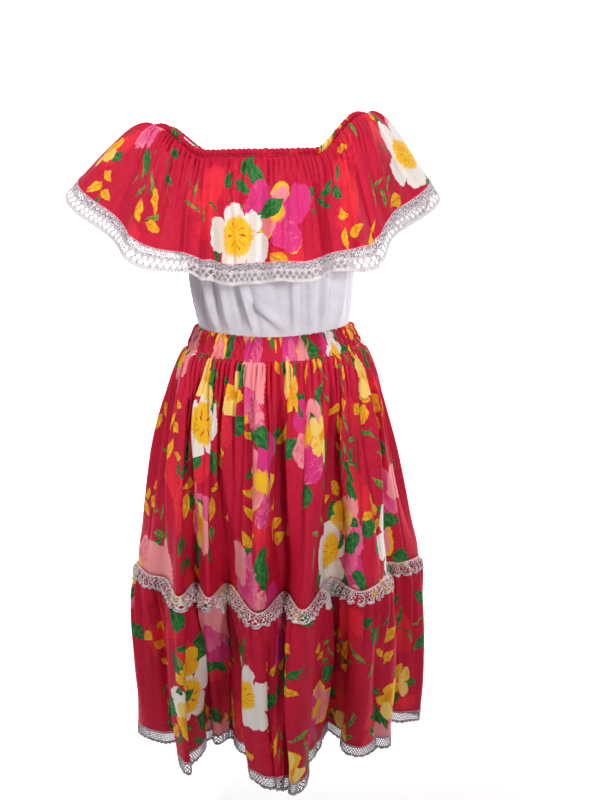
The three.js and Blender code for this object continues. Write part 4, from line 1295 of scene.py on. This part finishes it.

# Skirt laces
# Fine off-white net lace with a scalloped edge: one strip lies over the tier seam, and another
# hangs from the hem. The hem strip is painted darker all over, as painted shade of the folds.
SKIRT_LACE_CELL = 0.0105
SEAM_LACE_DEPTH = 0.025
HEM_LACE_DEPTH = 0.026
seam_thread = lace_material(
    "SeamLace", (0.86, 0.76, 0.76, 1), (0.27, 0.15, 0.18, 1), (0.84, 0.38, 0.44, 1), 0.09, 0.026,
    (0.80, 0.68, 0.69, 1),
)
# Painted shade: the hem lace is the seam lace's pattern in darker thread, gap, header and foot colours, for
# the shade it hangs in.
hem_thread_painted_shade = lace_material(
    "HemLacePaintedShade", (0.48, 0.42, 0.45, 1), (0.07, 0.045, 0.06, 1), (0.66, 0.30, 0.36, 1), 0.07, 0.026,
    (0.36, 0.30, 0.33, 1),
)

# Each lace: its piece, the node it replaces, the drop of its header, its depth, how far it lies
# above the cloth, how open its net is, and its thread.
SKIRT_LACES = (
    ("seam_lace", "tier_lace", TIER_DROP + 0.0010, SEAM_LACE_DEPTH, 0.0018, 0.72, seam_thread),
    ("hem_lace", "hem_lace", CLOTH_DROP - 0.0008, HEM_LACE_DEPTH, 0.0011, 0.66, hem_thread_painted_shade),
)


def net_lace_faces(cells, opening):
    """Flat lace: a header, staggered rows of net and a scalloped foot."""
    faces = []
    lace_band(faces, cells, 2, 0.0, lambda x: 0.06)
    diamond_rows(faces, cells, 3, 4, 0.06, 0.84, opening)
    lace_band(faces, cells, 6, 0.84, lambda x: 0.90 + 0.10 * abs(math.sin(math.pi * x)) ** 0.8)
    return faces


for side, start, end in SIDES:
    cells = int(round((end - start) / SKIRT_LACE_CELL))
    for label, node, top, depth, above, opening, thread in SKIRT_LACES:

        def on_skirt(across, down):
            run = start + SKIRT_SEAM_GAP + (end - start - 2 * SKIRT_SEAM_GAP) * across / cells
            return skirt_at(run, top + depth * down, lower_lift, above)

        net = net_lace_faces(cells, opening)
        piece = lace_piece(f"skirt_{label}_{side}", net, on_skirt, (end - start) / cells, depth, thread)
        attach(piece, "root")
        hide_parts(f"{node}_{side}")

# Waistband
# A casing of the same cotton over a wide elastic, gathered all round except at the middle front,
# where it lies flat with a row of stitching along its foot.
BAND_STEPS = 1080
BAND_GATHERS = 98
BAND_PUFF = 0.0082
BAND_TOP_WAVE = 0.0034
BAND_FLAT_MIDDLE = math.radians(4.6)
BAND_FLAT_ANGLE = math.radians(17)

# Cross-section, from the foot of the inside over the top to the foot of the outside: drop, distance
# out, and how much the gathers lift it.
BAND_SECTION = [
    (0.0378, -0.0012, 0.0), (0.0190, -0.0012, 0.0), (0.0004, -0.0012, 0.0), (-0.0004, -0.0006, 0.2),
    (-0.0005, 0.0004, 0.5), (0.0006, 0.0014, 0.8), (0.0030, 0.0020, 1.0), (0.0068, 0.0022, 1.0),
    (0.0110, 0.0022, 1.0), (0.0150, 0.0021, 1.0), (0.0190, 0.0022, 1.0), (0.0230, 0.0022, 1.0),
    (0.0270, 0.0021, 1.0), (0.0305, 0.0016, 0.8), (0.0330, 0.0008, 0.25), (0.0350, 0.0009, 0.3),
    (0.0378, 0.0016, 0.9),
]
band_place = np.arange(BAND_STEPS) / BAND_STEPS
band_run = band_place * seam_run[-1]
band_angle = np.interp(band_run, seam_run, waist_angles)
band_angle_turned = (band_angle + np.pi) % (2 * np.pi) - np.pi
BAND_FLAT_SHARE = 0.26
band_gathered = BAND_FLAT_SHARE + (1 - BAND_FLAT_SHARE) * smooth_step(
    np.abs(band_angle_turned - BAND_FLAT_MIDDLE), BAND_FLAT_ANGLE * 0.75, BAND_FLAT_ANGLE * 1.15
)
band_out = oval(1 / WAIST_HALF_WIDTH, 1 / WAIST_HALF_DEPTH, band_angle)
band_out /= np.linalg.norm(band_out, axis=-1)[..., None]
band_rings = []
band_uvs = []
for drop, out, lifted in BAND_SECTION:
    ring = skirt_base(band_run, np.full(BAND_STEPS, max(drop, 0.0)))
    sway = 0.30 * np.sin(160 * drop + 9 * band_angle) + 0.2 * np.sin(330 * drop + 31 * band_angle)
    folds = ridges(band_place + sway / BAND_GATHERS, BAND_GATHERS, 71)
    top_wave = BAND_TOP_WAVE * (1 - smooth_step(drop, 0, 0.012)) * band_gathered * (folds - 0.4)
    ring[..., 2] -= min(drop, 0.0) - top_wave
    ring[..., :2] += band_out * (out + BAND_PUFF * lifted * band_gathered * (folds - 0.45))[..., None]
    band_rings.append(ring)
    band_uvs.append(np.stack([band_run * UPPER_FULLNESS, np.full(BAND_STEPS, -drop - out)], -1))
band_cotton = printed_cotton("WaistbandPrint", (3.7, 1.9, 0))
band = closed_loop_mesh("skirt_band", np.array(band_rings), np.array(band_uvs), band_cotton)
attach(band, "root")
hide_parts("skirt_waistband")

# Stitching
# Small machine stitches in matching thread: along the foot of both casings, and along the headers
# of the laces.
STITCH_LENGTH = 0.0023
STITCH_WIDTH = 0.00034
STITCH_FLATNESS = 0.8
STITCH_SECTIONS = ((-0.5, 0.4), (0.0, 1.0), (0.5, 0.4))


def stitch_row(name, path, outward, spacing, thread):
    """Row of short raised stitches along a closed path that faces outward."""
    looped = np.vstack([path, path[:1]])
    facing = np.vstack([outward, outward[:1]])
    run = np.concatenate([[0], np.cumsum(np.linalg.norm(np.diff(looped, axis=0), axis=1))])

    def along(table, at):
        return np.array([np.interp(at, run, table[:, axis]) for axis in range(3)])

    count = int(run[-1] / spacing)
    points = []
    faces = []
    for k in range(count):
        middle = (k + 0.5) * run[-1] / count
        first = len(points)
        for part, swell in STITCH_SECTIONS:
            at = middle + part * STITCH_LENGTH
            centre = along(looped, at)
            out = along(facing, at)
            ahead = along(looped, at + 1e-4) - centre
            side_way = np.cross(out, ahead / np.linalg.norm(ahead))
            for turn in range(4):
                around = math.pi / 2 * turn
                offset = side_way * math.cos(around) + out * math.sin(around) * STITCH_FLATNESS
                points.append(centre + offset * STITCH_WIDTH * swell)
        for ring in (first, first + 4):
            for turn in range(4):
                a = ring + turn
                b = ring + (turn + 1) % 4
                faces.append([a, a + 4, b + 4, b])
        faces.append([first + 3, first + 2, first + 1, first])
        faces.append([first + 8, first + 9, first + 10, first + 11])
    points = np.array(points)
    piece = sewn_mesh(name, points, faces, points[:, :2].copy(), thread)
    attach(piece, "root")


def thread_material(name, light, dark):
    """Twisted thread, painted light and dark by turns as the shade of its plies."""
    material, shader, uv = cloth_material(name, 0.6, 0.1)
    place = Reading(add_node(uv.tree, "TexCoord").outputs["Object"])
    twist = {"Vector": place, "Scale": 900.0, "Distortion": 1.0}
    wave = add_node(uv.tree, "TexWave", twist, bands_direction="DIAGONAL")
    plug(shader, "Base Color", mix_colour(Reading(wave.outputs["Fac"]), dark, light))
    return material


# Painted shade: each thread's light and dark tones stand for its twisted plies lit and shaded.
red_thread = thread_material("RedThread", (0.62, 0.03, 0.06, 1), (0.42, 0.01, 0.03, 1))
white_thread = thread_material("WhiteThread", (0.86, 0.82, 0.80, 1), (0.70, 0.62, 0.62, 1))

casing_foot = neck_point(casing_angle, 0.0022)
casing_foot[:, 2] += 0.0020
casing_outward = neck_point(casing_angle, 0.01) - neck_point(casing_angle, 0.0)
casing_outward /= np.linalg.norm(casing_outward, axis=1)[:, None]
stitch_row("stitches_casing", casing_foot, casing_outward, 0.0032, red_thread)

band_outward = np.concatenate([band_out, np.zeros((BAND_STEPS, 1))], -1)
band_foot = skirt_base(band_run, np.full(BAND_STEPS, 0.0338))
band_foot += band_outward * 0.0012
stitch_row("stitches_waistband", band_foot, band_outward, 0.0034, red_thread)

stitch_runs = np.linspace(0, seam_run[-1], 4200)[:-1]
for label, drop, above in (
    ("seam_lace", TIER_DROP + 0.0026, 0.0023), ("hem_lace", CLOTH_DROP - 0.0004, 0.0012),
):
    drops = np.full(stitch_runs.shape, drop)
    path = skirt_at(stitch_runs, drops, lower_lift, above)
    outward = skirt_outward(stitch_runs, drops)
    stitch_row(f"stitches_{label}", path, outward, 0.0036, white_thread)

edge_angles = np.linspace(-np.pi / 2, 1.5 * np.pi, 3600)[:-1]
edge_reaches = np.full(edge_angles.shape, LACE_TOP + 0.005)
edge_path = ruffle_at(edge_angles, edge_reaches, 0.0017)
edge_outward = ruffle_outward(edge_angles, edge_reaches)
stitch_row("stitches_ruffle_lace", edge_path, edge_outward, 0.0034, red_thread)

# Room
# A pale floor that rises in a wide curve all round the dress, soft lamps, two of them on the wall
# behind it, and a camera at the height of the bodice.
FLOOR_LEVEL = -1.05
ROOM_STEPS = 96

# Radius and height above the floor, from the edge of the flat disc up the wall.
FLOOR_PROFILE = [(2.6, 0.0), (3.2, 0.06), (3.7, 0.28), (4.05, 0.70), (4.2, 1.3), (4.2, 3.6)]
room_points = []
for radius, height in FLOOR_PROFILE:
    for step in range(ROOM_STEPS):
        around = 2 * math.pi * step / ROOM_STEPS
        room_points.append((radius * math.cos(around), radius * math.sin(around), FLOOR_LEVEL + height))
room_faces = [list(range(ROOM_STEPS))]
for a in range(0, (len(FLOOR_PROFILE) - 1) * ROOM_STEPS, ROOM_STEPS):
    b = a + ROOM_STEPS
    for step in range(ROOM_STEPS):
        after = (step + 1) % ROOM_STEPS
        room_faces.append([a + step, b + step, b + after, a + after])
room_mesh = bpy.data.meshes.new("Floor")
room_mesh.from_pydata(room_points, [], room_faces)
room_mesh.polygons.foreach_set("use_smooth", np.ones(len(room_mesh.polygons), dtype=bool))
room = bpy.data.objects.new("Floor", room_mesh)
bpy.context.scene.collection.objects.link(room)
room_material = bpy.data.materials.new("PaleFloor")
room_material.use_nodes = True
room_shader = room_material.node_tree.nodes["Principled BSDF"]
room_place = Reading(add_node(room_material.node_tree, "TexCoord").outputs["Object"])
plug(room_shader, "Roughness", 0.9)
room_colour = mix_colour(noise(room_place, 0.8), (0.62, 0.62, 0.62, 1), (0.64, 0.64, 0.64, 1))
plug(room_shader, "Base Color", room_colour)
room_mesh.materials.append(room_material)

world = bpy.data.worlds.new("BrightRoom")
bpy.context.scene.world = world
world.use_nodes = True
plug(world.node_tree.nodes["Background"], "Color", (1.0, 1.0, 1.0, 1))
plug(world.node_tree.nodes["Background"], "Strength", 0.05)


def soft_light(name, place, target, size, power, spread=180.0):
    """Large square lamp that points at a place. Its grid lets it shine spread degrees wide."""
    lamp = bpy.data.lights.new(name, "AREA")
    lamp.shape = "SQUARE"
    lamp.size = size
    lamp.energy = power
    lamp.spread = math.radians(spread)
    holder = bpy.data.objects.new(name, lamp)
    bpy.context.scene.collection.objects.link(holder)
    holder.location = place
    way = np.array(target) - np.array(place)
    yaw = math.atan2(-way[0], way[1])
    pitch = math.acos(-way[2] / np.linalg.norm(way))
    holder.rotation_euler = (pitch, 0, yaw)


soft_light("KeyLight", (-1.05, -1.15, 1.75), (0, 0, 0.25), 0.40, 36)
soft_light("FillLight", (0.8, -1.6, 0.34), (0, -0.1, 0.14), 0.35, 3.0, 75.0)
soft_light("BackLight", (0.4, 2.2, 2.0), (0, 0, 0), 1.4, 10)
soft_light("WallLightLeft", (-2.4, 1.8, 1.9), (-0.8, 3.3, -1.0), 1.4, 132, 125.0)
soft_light("WallLightRight", (2.4, 1.8, 1.9), (0.9, 2.5, -1.0), 1.4, 145, 125.0)

CAMERA_PLACE = (0.045, -2.000, 0.278)
LOOKS_DOWN = 11.7
ROLL = -1.0
camera_data = bpy.data.cameras.new("Camera")
camera_data.lens = 50
camera_data.sensor_width = 36
camera = bpy.data.objects.new("Camera", camera_data)
bpy.context.scene.collection.objects.link(camera)
camera.matrix_world = (
    Matrix.Translation(CAMERA_PLACE)
    @ Matrix.Rotation(math.radians(90 - LOOKS_DOWN), 4, "X")
    @ Matrix.Rotation(math.radians(ROLL), 4, "Z")
)
bpy.context.scene.camera = camera
bpy.context.scene.view_settings.view_transform = "Standard"
